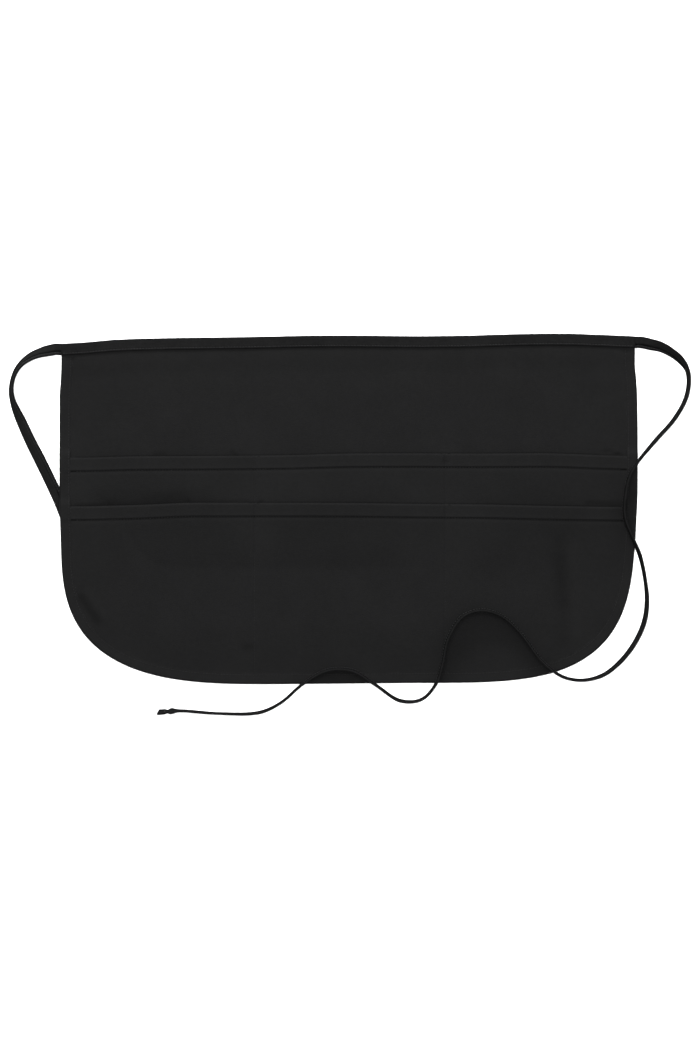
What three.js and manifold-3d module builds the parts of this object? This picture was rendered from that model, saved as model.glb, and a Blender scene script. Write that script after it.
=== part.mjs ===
// A waist apron, laid flat with its front up: +X to the right, +Y towards the waistband, +Z up, in millimetres.
// The origin lies under the middle of the apron, on the surface that it rests on.

import * as THREE from 'three';
import { mergeVertices } from 'three/addons/utils/BufferGeometryUtils.js';
import Module from 'manifold-3d';

const wasm = await Module();
wasm.setup();

// Cloth
const WIDTH = 610; // side edge to side edge, at the widest
const HEIGHT = 370; // bottom edge to the highest point of the waistband
const CLOTH = 1.0; // wall of one layer
const HEM = 11.6; // side and bottom hem, turned to the front
const GAP = 0.3; // between layers that lie on each other
const TOP_DROP = 10.8; // how far the top edge falls at its left end
const SIDE_PULL = 3.1; // most that a side is drawn in above its corner
const FOOT_RISE = 1.4; // how much higher the bottom edge ends on the right

// Pockets
const UPPER_DEPTH = 244.4; // mouth of the upper tier, above the bottom edge
const LOWER_DEPTH = 192.2; // mouth of the lower tier, above the bottom edge
const LEFT_SECTION = 205.7; // left side edge to the first dividing seam
const RIGHT_SECTION = 203.4; // right side edge to the second dividing seam
const MOUTH_BAND = 15; // folded band along a mouth
const MOUTH_FOLD = 0.6; // what the band adds to the pocket cloth's wall
const MOUTH_BOW = 4.5; // how far a mouth falls from its highest point
const MOUTH_GAPE = 7.8; // how far a mouth stands open at the middle of a section, at most
const GAPE_REACH = 90; // how deep below the mouth the cloth stands off
const GAPE_FLATNESS = 0.75; // under 1, a mouth's arch is flatter than a sine's

// Tape, folded over the top edge and running on as the two ties
const TAPE_WIDTH = 12.4; // folded
const TAPE_WALL = 1.0; // one side of the fold, over the top edge
const TIE_WALL = 2.0; // both sides together, in a tie
const TIE_BEVEL = 0.5;
const TIE_REST = 0.1; // under a tie that lies on the surface

// The top edge, as shares of WIDTH across and of TOP_DROP down
const TOP_EDGE = [
  { across: 0.0, drop: 1.0 },
  { across: 0.035, drop: 0.89 },
  { across: 0.105, drop: 0.57 },
  { across: 0.175, drop: 0.45 },
  { across: 0.31, drop: 0.34 },
  { across: 0.485, drop: 0.18 },
  { across: 0.62, drop: 0.25 },
  { across: 0.69, drop: 0.21 },
  { across: 0.8, drop: 0.04 },
  { across: 0.865, drop: 0.0 },
  { across: 0.93, drop: 0.1 },
  { across: 1.0, drop: 0.28 },
];

// The side edges, as shares of HEIGHT up and of SIDE_PULL inwards
const SIDE_EDGES = [
  { up: 0.0, left: 0.61, right: 0.87 },
  { up: 0.35, left: 0.61, right: 0.87 },
  { up: 0.41, left: 0.5, right: 0.65 },
  { up: 0.47, left: 0.24, right: 0.45 },
  { up: 0.55, left: 0.06, right: 0.06 },
  { up: 0.7, left: 0.0, right: 0.0 },
  { up: 0.82, left: 0.03, right: 0.19 },
  { up: 0.87, left: 0.39, right: 0.52 },
  { up: 0.92, left: 0.65, right: 1.0 },
  { up: 1.0, left: 0.61, right: 0.97 },
];

// The lower corners are quarter superellipses: how far each reaches along the bottom and up the side
const LEFT_CORNER = { reach: 222, rise: 156, power: 3.0 };
const RIGHT_CORNER = { reach: 227, rise: 205, power: 3.6 };

// The pocket mouths, as shares of WIDTH across and of MOUTH_BOW down
const MOUTHS = [
  { across: 0.05, upper: 1.0, lower: 0.82 },
  { across: 0.14, upper: 0.71, lower: 0.5 },
  { across: 0.24, upper: 0.64, lower: 0.0 },
  { across: 0.4, upper: 0.42, lower: 0.0 },
  { across: 0.5, upper: 0.07, lower: 0.05 },
  { across: 0.6, upper: 0.0, lower: 0.22 },
  { across: 0.73, upper: 0.07, lower: 0.38 },
  { across: 0.83, upper: 0.0, lower: 0.69 },
  { across: 0.95, upper: 0.5, lower: 0.95 },
  { across: 1.0, upper: 0.67, lower: 1.0 },
];

// How far each section of each tier stands open, as shares of MOUTH_GAPE
const SECTIONS = [
  { name: 'left', upper: 0.73, lower: 1.0 },
  { name: 'middle', upper: 0.72, lower: 0.92 },
  { name: 'right', upper: 0.75, lower: 0.96 },
];

// The ties' routes: points along the middle of the tape, and its lean from 0, flat, to 90, on its edge
const LEFT_TIE_BESIDE = [
  { x: -303.5, y: 168.3, z: 2.5, lean: 0 },
  { x: -309, y: 168.3, z: 2.7, lean: 10 },
  { x: -316, y: 166.9, z: 4.2, lean: 30 },
  { x: -325.5, y: 164.4, z: 5.8, lean: 52 },
  { x: -336, y: 159.8, z: 6.3, lean: 64 },
  { x: -346, y: 151.8, z: 6.5, lean: 72 },
  { x: -352.5, y: 141, z: 6.6, lean: 77 },
  { x: -355.5, y: 126, z: 6.6, lean: 77 },
  { x: -354, y: 114.5, z: 6.5, lean: 73 },
  { x: -350.3, y: 104.2, z: 6.3, lean: 63 },
  { x: -345.6, y: 93.7, z: 5.9, lean: 54 },
  { x: -336, y: 72.6, z: 5.3, lean: 43 },
  { x: -325.4, y: 51.5, z: 4.4, lean: 31 },
  { x: -315.4, y: 30.6, z: 2.1, lean: 8 },
];

const LEFT_TIE_BELOW = [
  { x: -310, y: 19, z: 1.1, lean: 0 },
  { x: -304.6, y: 7, z: 1.1, lean: 0 },
  { x: -297, y: -12, z: 1.1, lean: 0 },
  { x: -287, y: -36, z: 1.1, lean: 0 },
  { x: -272, y: -60, z: 1.1, lean: 0 },
  { x: -250, y: -81, z: 1.1, lean: 0 },
  { x: -221, y: -95, z: 1.1, lean: 0 },
  { x: -186, y: -101, z: 1.1, lean: 0 },
  { x: -130, y: -102, z: 1.1, lean: 0 },
  { x: -70, y: -102, z: 1.1, lean: 0 },
  { x: -10, y: -102, z: 1.1, lean: 0 },
  { x: 40, y: -101, z: 1.1, lean: 0 },
  { x: 72, y: -96, z: 1.1, lean: 0 },
  { x: 95, y: -81, z: 1.1, lean: 0 },
  { x: 102, y: -60, z: 1.1, lean: 0 },
  { x: 92, y: -38, z: 1.1, lean: 0 },
  { x: 68, y: -26, z: 1.1, lean: 0 },
  { x: 34, y: -24, z: 1.1, lean: 0 },
  { x: -30, y: -24, z: 1.1, lean: 0 },
  { x: -100, y: -24, z: 1.1, lean: 0 },
  { x: -180, y: -24, z: 1.1, lean: 0 },
];

const RIGHT_TIE = [
  { x: 302.5, y: 175.6, z: 2.5, lean: 0 },
  { x: 308, y: 175.6, z: 2.7, lean: 8 },
  { x: 318, y: 173.4, z: 4.6, lean: 30 },
  { x: 329, y: 170.6, z: 5.6, lean: 46 },
  { x: 339.5, y: 165, z: 6.2, lean: 57 },
  { x: 349.5, y: 157, z: 6.5, lean: 68 },
  { x: 356.7, y: 146.4, z: 6.6, lean: 78 },
  { x: 358.3, y: 133, z: 6.6, lean: 80 },
  { x: 354.5, y: 114.8, z: 6.6, lean: 82 },
  { x: 342.3, y: 93.7, z: 6.6, lean: 84 },
  { x: 323.8, y: 72.8, z: 7.4, lean: 84 },
  { x: 305.1, y: 50.5, z: 10.8, lean: 84 },
  { x: 295.6, y: 35.7, z: 11.0, lean: 84 },
  { x: 290.6, y: 15, z: 11.8, lean: 84 },
  { x: 289.7, y: -8, z: 12.4, lean: 84 },
  { x: 296, y: -26, z: 12.4, lean: 84 },
  { x: 306, y: -48, z: 11.2, lean: 82 },
  { x: 312.2, y: -75, z: 7.2, lean: 80 },
  { x: 314.2, y: -96, z: 6.6, lean: 78 },
  { x: 311.7, y: -117.2, z: 6.6, lean: 76 },
  { x: 303, y: -138.3, z: 6.6, lean: 76 },
  { x: 287.5, y: -159.4, z: 6.6, lean: 78 },
  { x: 268, y: -175, z: 6.6, lean: 82 },
  { x: 246, y: -180.4, z: 7.0, lean: 84 },
  { x: 224, y: -176, z: 11.2, lean: 84 },
  { x: 203.9, y: -160.4, z: 11.6, lean: 84 },
  { x: 181, y: -130.5, z: 10.3, lean: 84 },
  { x: 161, y: -112.5, z: 10.9, lean: 84 },
  { x: 140.3, y: -106.4, z: 12.2, lean: 84 },
  { x: 119.5, y: -113, z: 12.6, lean: 84 },
  { x: 104, y: -137, z: 12.1, lean: 84 },
  { x: 98.4, y: -162.5, z: 11.6, lean: 84 },
  { x: 91.5, y: -184.5, z: 11.6, lean: 84 },
  { x: 76, y: -201, z: 7.0, lean: 84 },
  { x: 54, y: -202, z: 7.0, lean: 84 },
  { x: 28, y: -185, z: 11.6, lean: 84 },
  { x: 4, y: -170, z: 11.7, lean: 84 },
  { x: -23, y: -169.8, z: 11.7, lean: 84 },
  { x: -48.7, y: -184.7, z: 11.6, lean: 84 },
  { x: -72, y: -204.5, z: 6.8, lean: 84 },
  { x: -94, y: -214.4, z: 6.6, lean: 84 },
  { x: -135.7, y: -215.6, z: 6.6, lean: 84 },
  { x: -177.8, y: -212.7, z: 6.4, lean: 76 },
  { x: -200.8, y: -214.3, z: 6.0, lean: 60 },
];
const TIE_STEPS = 2; // sections of a tie from one route point to the next

// How the cloth rides over the tape's back layer and over the tie below it: full height within the hold,
// then down to the surface within the fade
const BAND_RIDE = { lift: TAPE_WALL + GAP, hold: 8, fade: 20 };
const TIE_RIDE = { lift: TIE_REST + TIE_WALL + GAP, hold: 40, fade: 30 };

// The lattice that every layer shares, so that layers keep their gap between its points too
const OVERHANG = 4; // past the outline
const LIP = 1; // beside a step in height
const MOUTH_RAMP = 10; // where the hem climbs onto a pocket cloth
const COLUMN_SHARES = [0, 0.035, 0.14, 0.3, 0.5, 0.7, 0.86, 0.965];
const SEAM = WIDTH / 2 - HEM - SIDE_PULL - LIP; // where the pocket cloths come out of the hem
const SEAMS = [-SEAM, LEFT_SECTION - WIDTH / 2, WIDTH / 2 - RIGHT_SECTION, SEAM];

const { clamp, lerp, smoothstep } = THREE.MathUtils;

// A smooth curve through a table's rows that never swings past a row's own value.
function smoothTable(rows, key, column) {
  const at = rows.map((row) => row[key]);
  const value = rows.map((row) => row[column]);
  const rise = (i) => (value[i + 1] - value[i]) / (at[i + 1] - at[i]);
  const slope = value.map((_, i) => {
    const before = rise(Math.max(i - 1, 0));
    const after = rise(Math.min(i, rows.length - 2));
    return before * after > 0 ? (2 * before * after) / (before + after) : 0;
  });
  return (place) => {
    const next = at.findIndex((a) => a > place);
    const i = next < 0 ? rows.length - 2 : Math.max(next - 1, 0);
    const span = at[i + 1] - at[i];
    const t = clamp((place - at[i]) / span, 0, 1);
    const ease = t * t * (3 - 2 * t);
    const leave = span * slope[i] * t * (1 - t) ** 2;
    const arrive = span * slope[i + 1] * t * t * (1 - t);
    return lerp(value[i], value[i + 1], ease) + leave - arrive;
  };
}

const across = (x) => x / WIDTH + 0.5;
const dropOfTop = smoothTable(TOP_EDGE, 'across', 'drop');
const pullOnLeft = smoothTable(SIDE_EDGES, 'up', 'left');
const pullOnRight = smoothTable(SIDE_EDGES, 'up', 'right');
const dropOfUpper = smoothTable(MOUTHS, 'across', 'upper');
const dropOfLower = smoothTable(MOUTHS, 'across', 'lower');

const topEdge = (x) => HEIGHT / 2 - TOP_DROP * dropOfTop(across(x));
const bandFoot = (x) => topEdge(x) - TAPE_WIDTH;
const upperMouth = (x) => UPPER_DEPTH - HEIGHT / 2 - MOUTH_BOW * dropOfUpper(across(x));
const lowerMouth = (x) => LOWER_DEPTH - HEIGHT / 2 - MOUTH_BOW * dropOfLower(across(x));
const foot = () => -HEIGHT / 2;

const UPPER = { mouth: upperMouth, share: 'upper' };
const LOWER = { mouth: lowerMouth, share: 'lower' };

// The lattice's rows from the waistband's lower edge down: each lies on a line or evenly between its neighbours.
const ROWS = [
  { line: bandFoot, up: 0 },
  { line: bandFoot, up: -BAND_RIDE.hold },
  { line: bandFoot, up: -BAND_RIDE.hold - BAND_RIDE.fade },
  { between: 3 },
  { line: upperMouth, up: MOUTH_RAMP },
  { line: upperMouth, up: LIP },
  { line: upperMouth, up: 0, name: 'upper' },
  { line: upperMouth, up: LIP - MOUTH_BAND },
  { line: upperMouth, up: -LIP - MOUTH_BAND },
  { between: 1 },
  { line: lowerMouth, up: MOUTH_RAMP },
  { line: lowerMouth, up: LIP },
  { line: lowerMouth, up: 0, name: 'lower' },
  { line: lowerMouth, up: LIP - MOUTH_BAND },
  { line: lowerMouth, up: -LIP - MOUTH_BAND },
  { between: 6 },
  { line: foot, up: HEM },
  { line: foot, up: -OVERHANG },
];

// The lattice rows' heights at one column, each with its row's name.
function latticeColumn(x) {
  const placed = [];
  ROWS.forEach((row, i) => {
    if (row.line) {
      placed.push({ y: row.line(x) + row.up, name: row.name });
      return;
    }
    const from = ROWS[i - 1].line(x) + ROWS[i - 1].up;
    const to = ROWS[i + 1].line(x) + ROWS[i + 1].up;
    for (let k = 1; k <= row.between; k += 1) {
      placed.push({ y: lerp(from, to, k / (row.between + 1)) });
    }
  });
  return placed;
}

// The lattice's columns: outside the cloth, then shares of each section from seam to seam.
function latticeColumns() {
  const xs = [-WIDTH / 2 - OVERHANG];
  SECTIONS.forEach((_, i) => {
    COLUMN_SHARES.forEach((share) => xs.push(lerp(SEAMS[i], SEAMS[i + 1], share)));
  });
  xs.push(SEAM, WIDTH / 2 + OVERHANG);
  return xs;
}

const COLUMNS = latticeColumns();
const rowIndex = (name) => latticeColumn(0).findIndex((row) => row.name === name);

// A height that holds within ride.hold of something and fades to nothing past it.
function rideHeight(ride, distance) {
  return ride.lift * (1 - smoothstep(distance, ride.hold, ride.hold + ride.fade));
}

// The level distance from a place to the part of the left tie that lies below the cloth.
function distanceToTie(x, y) {
  const place = new THREE.Vector3(x, y, 0);
  const nearest = new THREE.Vector3();
  const run = LEFT_TIE_BELOW.map((point) => new THREE.Vector3(point.x, point.y, 0));
  const distances = run.slice(1).map((end, i) => {
    new THREE.Line3(run[i], end).closestPointToPoint(place, true, nearest);
    return nearest.distanceTo(place);
  });
  return Math.min(...distances);
}

// How far a pocket cloth stands off the layer below it.
function gape(tier, x, y) {
  const section = SEAMS.findIndex((seam, i) => x > seam && x < SEAMS[i + 1]);
  if (section < 0) {
    return 0;
  }
  const share = (x - SEAMS[section]) / (SEAMS[section + 1] - SEAMS[section]);
  const fade = 1 - smoothstep(tier.mouth(x) - y, 0, GAPE_REACH);
  const arch = Math.sin(Math.PI * share) ** GAPE_FLATNESS;
  return MOUTH_GAPE * SECTIONS[section][tier.share] * arch * fade;
}

// A pocket cloth's wall, thicker in the folded band along its mouth.
function pocketWall(tier, x, y) {
  const below = tier.mouth(x) - y;
  return CLOTH + MOUTH_FOLD * clamp((MOUTH_BAND + LIP - below) / (2 * LIP), 0, 1);
}

// 1 where the hem lies over this pocket cloth, falling to 0 above its mouth.
function underHem(tier, x, y) {
  return clamp((tier.mouth(x) + MOUTH_RAMP - y) / (MOUTH_RAMP - LIP), 0, 1);
}

// The surfaces of the layers, from the back of the panel up
const panelUnder = (x, y) =>
  Math.max(rideHeight(BAND_RIDE, bandFoot(x) - y), rideHeight(TIE_RIDE, distanceToTie(x, y)));
const panelOver = (x, y) => panelUnder(x, y) + CLOTH;
const upperUnder = (x, y) => panelOver(x, y) + GAP + gape(UPPER, x, y);
const upperOver = (x, y) => upperUnder(x, y) + pocketWall(UPPER, x, y);
const lowerUnder = (x, y) => upperOver(x, y) + GAP + gape(LOWER, x, y);
const lowerOver = (x, y) => lowerUnder(x, y) + pocketWall(LOWER, x, y);

// The inside of the hem's fold: clear of the pocket cloths that it holds.
function hemUnder(x, y) {
  const upper = underHem(UPPER, x, y) * (upperOver(x, y) - panelOver(x, y));
  const lower = underHem(LOWER, x, y) * (lowerOver(x, y) - upperOver(x, y));
  return panelOver(x, y) + upper + lower + GAP;
}

const hemOver = (x, y) => hemUnder(x, y) + CLOTH;

// The inside of the waistband's fold: over the panel, and over the hem at both ends.
function bandInside(x, y) {
  return Math.abs(x) >= SEAM ? hemOver(x, y) + GAP : panelOver(x, y) + GAP;
}

// The closed body between two height functions, from its own top edge down the lattice's rows.
function slab(under, over, edge, firstRow = 0) {
  const depth = latticeColumn(0).length - firstRow + 1;
  const count = COLUMNS.length * depth;
  const positions = new Float32Array(count * 2 * 3);
  COLUMNS.forEach((x, i) => {
    const ys = [edge(x), ...latticeColumn(x).slice(firstRow).map((row) => row.y)];
    ys.forEach((y, j) => {
      positions.set([x, y, under(x, y)], (i * depth + j) * 3);
      positions.set([x, y, over(x, y)], (count + i * depth + j) * 3);
    });
  });

  const triangles = [];
  const quad = (a, b, c, d) => triangles.push(a, b, c, a, c, d);
  for (let i = 0; i < COLUMNS.length - 1; i += 1) {
    for (let j = 0; j < depth - 1; j += 1) {
      const here = i * depth + j;
      const right = here + depth;
      quad(count + here, count + here + 1, count + right + 1, count + right);
      triangles.push(here, right + 1, here + 1, here, right, right + 1);
    }
  }
  const wall = (a, b) => quad(a, b, count + b, count + a);
  for (let j = 0; j < depth - 1; j += 1) {
    wall(j, j + 1);
    wall(count - depth + j + 1, count - depth + j);
  }
  for (let i = 0; i < COLUMNS.length - 1; i += 1) {
    wall((i + 1) * depth, i * depth);
    wall((i + 1) * depth - 1, (i + 2) * depth - 1);
  }
  return closedBody(positions, triangles);
}

// A solid for joining and cutting, from positions and triangles.
function closedBody(positions, triangles) {
  const mesh = new wasm.Mesh({
    numProp: 3,
    vertProperties: positions,
    triVerts: new Uint32Array(triangles),
  });
  return new wasm.Manifold(mesh);
}

const TALL = 80; // the height of an upright cutter, from below the cloth to above it

// The upright body over an outline.
function upright(points) {
  const geometry = new THREE.ExtrudeGeometry(new THREE.Shape(points), {
    depth: TALL,
    bevelEnabled: false,
  });
  geometry.translate(0, 0, -TALL / 4);
  geometry.deleteAttribute('normal');
  geometry.deleteAttribute('uv');
  const merged = mergeVertices(geometry);
  return closedBody(merged.attributes.position.array, merged.index.array);
}

const SIDE_STEPS = 12; // points down each side, above its corner
const CORNER_STEPS = 16; // points round each corner

// The side and bottom edges as one run, from the left end of the top edge round to the right end.
function edgeRun() {
  const side = (sign, pull, corner, lift) => {
    const edgeAt = (y) => sign * (WIDTH / 2 - SIDE_PULL * pull(y / HEIGHT + 0.5));
    const points = [];
    const shoulder = corner.rise - HEIGHT / 2 + lift;
    const top = topEdge((sign * WIDTH) / 2);
    for (let k = 0; k < SIDE_STEPS; k += 1) {
      const y = lerp(top, shoulder, k / SIDE_STEPS);
      points.push(new THREE.Vector2(edgeAt(y), y));
    }
    for (let k = 0; k <= CORNER_STEPS; k += 1) {
      const turn = (k / CORNER_STEPS) * (Math.PI / 2);
      const inwards = corner.reach * (1 - Math.cos(turn) ** (2 / corner.power));
      const y = shoulder - corner.rise * Math.sin(turn) ** (2 / corner.power);
      points.push(new THREE.Vector2(edgeAt(y) - sign * inwards, y));
    }
    return points;
  };
  const left = side(-1, pullOnLeft, LEFT_CORNER, 0);
  const right = side(1, pullOnRight, RIGHT_CORNER, FOOT_RISE);
  return [...left, ...right.reverse()];
}

const EDGE_RUN = edgeRun();

// The region inside the edge run, set in by a distance and open past the top edge.
function region(inset) {
  const last = EDGE_RUN.length - 1;
  const points = EDGE_RUN.map((point, i) => {
    const before = EDGE_RUN[Math.max(i - 1, 0)];
    const after = EDGE_RUN[Math.min(i + 1, last)];
    const along = new THREE.Vector2().subVectors(after, before).normalize();
    return new THREE.Vector2(point.x - along.y * inset, point.y + along.x * inset);
  });
  const beyond = HEIGHT / 2 + OVERHANG;
  points.unshift(new THREE.Vector2(points[0].x, beyond));
  points.push(new THREE.Vector2(points[points.length - 1].x, beyond));
  return upright(points);
}

// The panel, whose cloth turns over the pocket cloths' edges as the hem.
function apronPanel() {
  const edge = (x) => topEdge(x) - TAPE_WALL - GAP;
  const block = slab(panelUnder, hemOver, edge).intersect(region(0));
  const fold = slab(panelOver, hemUnder, topEdge).intersect(region(CLOTH));
  const aboveFold = (x, y) => panelOver(x, y) + GAP / 2;
  const aboveHem = (x, y) => hemOver(x, y) + CLOTH;
  const window = slab(aboveFold, aboveHem, topEdge).intersect(region(HEM));
  return block.subtract(fold).subtract(window);
}

// A pocket cloth, from its mouth down into the side and bottom hems.
function pocketCloth(tier, under, over) {
  const firstRow = rowIndex(tier.share) + 1;
  return slab(under, over, tier.mouth, firstRow).intersect(region(CLOTH + GAP));
}

// The tape folded over the top edge, from one side of the apron to the other.
function waistband() {
  const back = (x, y) => panelUnder(x, y) - GAP - TAPE_WALL;
  const front = (x, y) => bandInside(x, y) + TAPE_WALL;
  const inner = (x, y) => panelUnder(x, y) - GAP;
  const tape = slab(back, front, topEdge).intersect(bandStrip());
  const inside = slab(inner, bandInside, (x) => topEdge(x) - TAPE_WALL);
  return tape.subtract(inside).intersect(region(0));
}

// The strip between the top edge and the waistband's lower edge.
function bandStrip() {
  const above = COLUMNS.map((x) => new THREE.Vector2(x, topEdge(x) + OVERHANG));
  const below = COLUMNS.map((x) => new THREE.Vector2(x, bandFoot(x)));
  return upright([...below, ...above.reverse()]);
}

// A tie: a folded tape swept along its route, leaning as the route says.
function tie(route) {
  const curve = new THREE.CatmullRomCurve3(
    route.map((point) => new THREE.Vector3(point.x, point.y, point.z)),
    false,
    'centripetal',
  );
  const wide = TAPE_WIDTH / 2;
  const thick = TIE_WALL / 2;
  const section = [
    [wide - TIE_BEVEL, -thick],
    [wide, TIE_BEVEL - thick],
    [wide, thick - TIE_BEVEL],
    [wide - TIE_BEVEL, thick],
    [TIE_BEVEL - wide, thick],
    [-wide, thick - TIE_BEVEL],
    [-wide, TIE_BEVEL - thick],
    [TIE_BEVEL - wide, -thick],
  ];
  const up = new THREE.Vector3(0, 0, 1);
  const steps = (route.length - 1) * TIE_STEPS;
  const positions = [];
  for (let k = 0; k <= steps; k += 1) {
    const t = k / steps;
    const i = Math.min(Math.floor(k / TIE_STEPS), route.length - 2);
    const lean = lerp(route[i].lean, route[i + 1].lean, k / TIE_STEPS - i);
    const along = curve.getTangent(t);
    const side = new THREE.Vector3().crossVectors(up, along).normalize();
    const breadth = side.clone().applyAxisAngle(along, THREE.MathUtils.degToRad(lean));
    const depth = new THREE.Vector3().crossVectors(along, breadth);
    section.forEach(([a, b]) => {
      const corner = curve.getPoint(t).addScaledVector(breadth, a).addScaledVector(depth, b);
      positions.push(corner.x, corner.y, corner.z);
    });
  }

  const sides = section.length;
  const triangles = [];
  for (let k = 0; k < steps; k += 1) {
    for (let s = 0; s < sides; s += 1) {
      const here = k * sides + s;
      const next = k * sides + ((s + 1) % sides);
      triangles.push(here, next, next + sides, here, next + sides, here + sides);
    }
  }
  const end = steps * sides;
  for (let s = 1; s < sides - 1; s += 1) {
    triangles.push(0, s + 1, s, end, end + s, end + s + 1);
  }
  return closedBody(new Float32Array(positions), triangles);
}

const TWILL = { color: 0x252525, roughness: 0.92, metalness: 0 };
const TAPE = { color: 0x212121, roughness: 0.85, metalness: 0 };

const apron = new THREE.Group();

// Adds a solid to the apron as a named mesh.
function add(name, solid, finish) {
  const { vertProperties, triVerts } = solid.getMesh();
  const geometry = new THREE.BufferGeometry();
  geometry.setAttribute('position', new THREE.BufferAttribute(vertProperties, 3));
  geometry.setIndex(new THREE.BufferAttribute(triVerts, 1));
  geometry.computeVertexNormals();
  const mesh = new THREE.Mesh(geometry, new THREE.MeshStandardMaterial(finish));
  mesh.name = name;
  apron.add(mesh);
}

add('apron_panel', apronPanel(), TWILL);
add('pocket_upper', pocketCloth(UPPER, upperUnder, upperOver), TWILL);
add('pocket_lower', pocketCloth(LOWER, lowerUnder, lowerOver), TWILL);
add('waistband', waistband(), TAPE);
add('tie_left', tie([...LEFT_TIE_BESIDE, ...LEFT_TIE_BELOW]), TAPE);
add('tie_right', tie(RIGHT_TIE), TAPE);

export default apron;
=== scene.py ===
"""A black cloth waist apron, laid flat with its front up and its ties loose, on a pale floor.

The cut is written in millimetres, as a pattern maker writes it, and the meshes are in metres.
+X runs to the right across the apron's front, +Y towards its waistband, and +Z up.
"""

from __future__ import annotations

import logging
import math
from dataclasses import dataclass, field
from enum import Enum
from typing import Any, Iterable, Sequence

import bmesh
import bpy
import numpy as np
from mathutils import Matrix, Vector
from mathutils.geometry import delaunay_2d_cdt

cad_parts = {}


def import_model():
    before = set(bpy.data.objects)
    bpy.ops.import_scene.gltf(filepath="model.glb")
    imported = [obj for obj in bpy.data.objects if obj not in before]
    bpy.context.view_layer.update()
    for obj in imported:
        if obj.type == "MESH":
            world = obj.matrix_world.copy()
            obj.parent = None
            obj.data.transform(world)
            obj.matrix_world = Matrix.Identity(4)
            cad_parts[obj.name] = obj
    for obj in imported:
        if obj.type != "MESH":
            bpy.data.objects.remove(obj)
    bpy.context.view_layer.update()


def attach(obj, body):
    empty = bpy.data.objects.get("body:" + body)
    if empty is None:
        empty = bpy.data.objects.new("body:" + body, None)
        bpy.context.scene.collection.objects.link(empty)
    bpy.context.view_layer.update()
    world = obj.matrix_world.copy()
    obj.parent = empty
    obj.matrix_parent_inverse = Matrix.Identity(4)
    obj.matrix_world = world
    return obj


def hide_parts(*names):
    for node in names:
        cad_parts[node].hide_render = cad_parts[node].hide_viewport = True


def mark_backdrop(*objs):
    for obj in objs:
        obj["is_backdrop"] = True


Array = np.ndarray
Section = list[tuple[float, float, str]]
Colour = tuple[float, float, float]

MM = 0.001

log = logging.getLogger("waist_apron")


class Tier(Enum):
    """The two tiers of pockets, one lying on the other."""

    UPPER = "upper"
    LOWER = "lower"


class Side(Enum):
    """The left and right of the apron, as seen from its front, with the sign of X there."""

    LEFT = -1
    RIGHT = 1


# Curves and heights


def smoothstep(value: Array, low: float, high: float) -> Array:
    """Rise smoothly from 0 at low to 1 at high.

    Args:
        value: Where to read the rise.
        low: The last value with a rise of 0.
        high: The first value with a rise of 1.

    Returns:
        The rise at each value.
    """
    t = np.clip((np.asarray(value, float) - low) / (high - low), 0.0, 1.0)
    return t * t * (3.0 - 2.0 * t)


@dataclass(frozen=True)
class SmoothTable:
    """A smooth curve through named places that never swings past a row's own value."""

    places: tuple[float, ...]
    values: tuple[float, ...]

    def __call__(self, place: Array) -> Array:
        """Read the curve.

        Args:
            place: Where to read it, in the table's own places.

        Returns:
            The curve's value at each place.
        """
        at = np.array(self.places)
        value = np.array(self.values)
        rise = np.diff(value) / np.diff(at)
        before = np.concatenate([rise[:1], rise])
        after = np.concatenate([rise, rise[-1:]])
        agree = before * after > 0
        slope = np.where(agree, 2 * before * after / np.where(agree, before + after, 1.0), 0.0)
        place = np.asarray(place, float)
        row = np.clip(np.searchsorted(at, place, side="right") - 1, 0, len(at) - 2)
        span = at[row + 1] - at[row]
        t = np.clip((place - at[row]) / span, 0.0, 1.0)
        ease = t * t * (3.0 - 2.0 * t)
        leave = span * slope[row] * t * (1.0 - t) ** 2
        arrive = span * slope[row + 1] * t * t * (1.0 - t)
        return value[row] + (value[row + 1] - value[row]) * ease + leave - arrive


def running_length(points: Array) -> Array:
    """Measure how far along a line each of its points is."""
    steps = np.linalg.norm(np.diff(points, axis=0), axis=1)
    return np.concatenate([[0.0], np.cumsum(steps)])


def read_along(values: Array, along: Array, places: Array) -> Array:
    """Read a line's rows of values at places along it."""
    return np.stack([np.interp(places, along, values[:, k]) for k in range(values.shape[1])], 1)


def unit(vectors: Array) -> Array:
    """Give vectors, one a row, a length of 1."""
    return vectors / np.linalg.norm(vectors, axis=1, keepdims=True)


def resample(points: Array, step: float) -> Array:
    """Space a line's points evenly.

    Args:
        points: The line's points, one a row.
        step: About how far apart the new points are.

    Returns:
        The new points, the line's two ends among them.
    """
    along = running_length(points)
    count = max(2, int(round(along[-1] / step)) + 1)
    return read_along(points, along, np.linspace(0.0, along[-1], count))


def soft_noise(along: Array, pitch: float, seed: int) -> Array:
    """Make a smooth random wave from -1 to 1.

    Args:
        along: Where to read it.
        pitch: About how far apart its bumps are.
        seed: Which of the waves it is.

    Returns:
        The wave's value at each place.
    """
    knots = np.random.default_rng(seed).uniform(-1.0, 1.0, 997)
    place = np.asarray(along, float) / pitch + 211.0
    cell = np.floor(place).astype(int)
    t = place - cell
    ease = t * t * (3.0 - 2.0 * t)
    return knots[cell % 997] * (1.0 - ease) + knots[(cell + 1) % 997] * ease


def gathers(along: Array, pitch: float, seed: int) -> Array:
    """Make the uneven ripple of gathered cloth, from -1 to 1: a soft wave with a finer one on it."""
    return 0.6 * soft_noise(along, pitch, seed) + 0.4 * soft_noise(along, pitch / 2, seed + 1)


def bell(distance: Array, width: float) -> Array:
    """Give a smooth bump of 1 at a distance of 0, which fades over a width."""
    return np.exp(-((np.asarray(distance, float) / width) ** 2))


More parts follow.
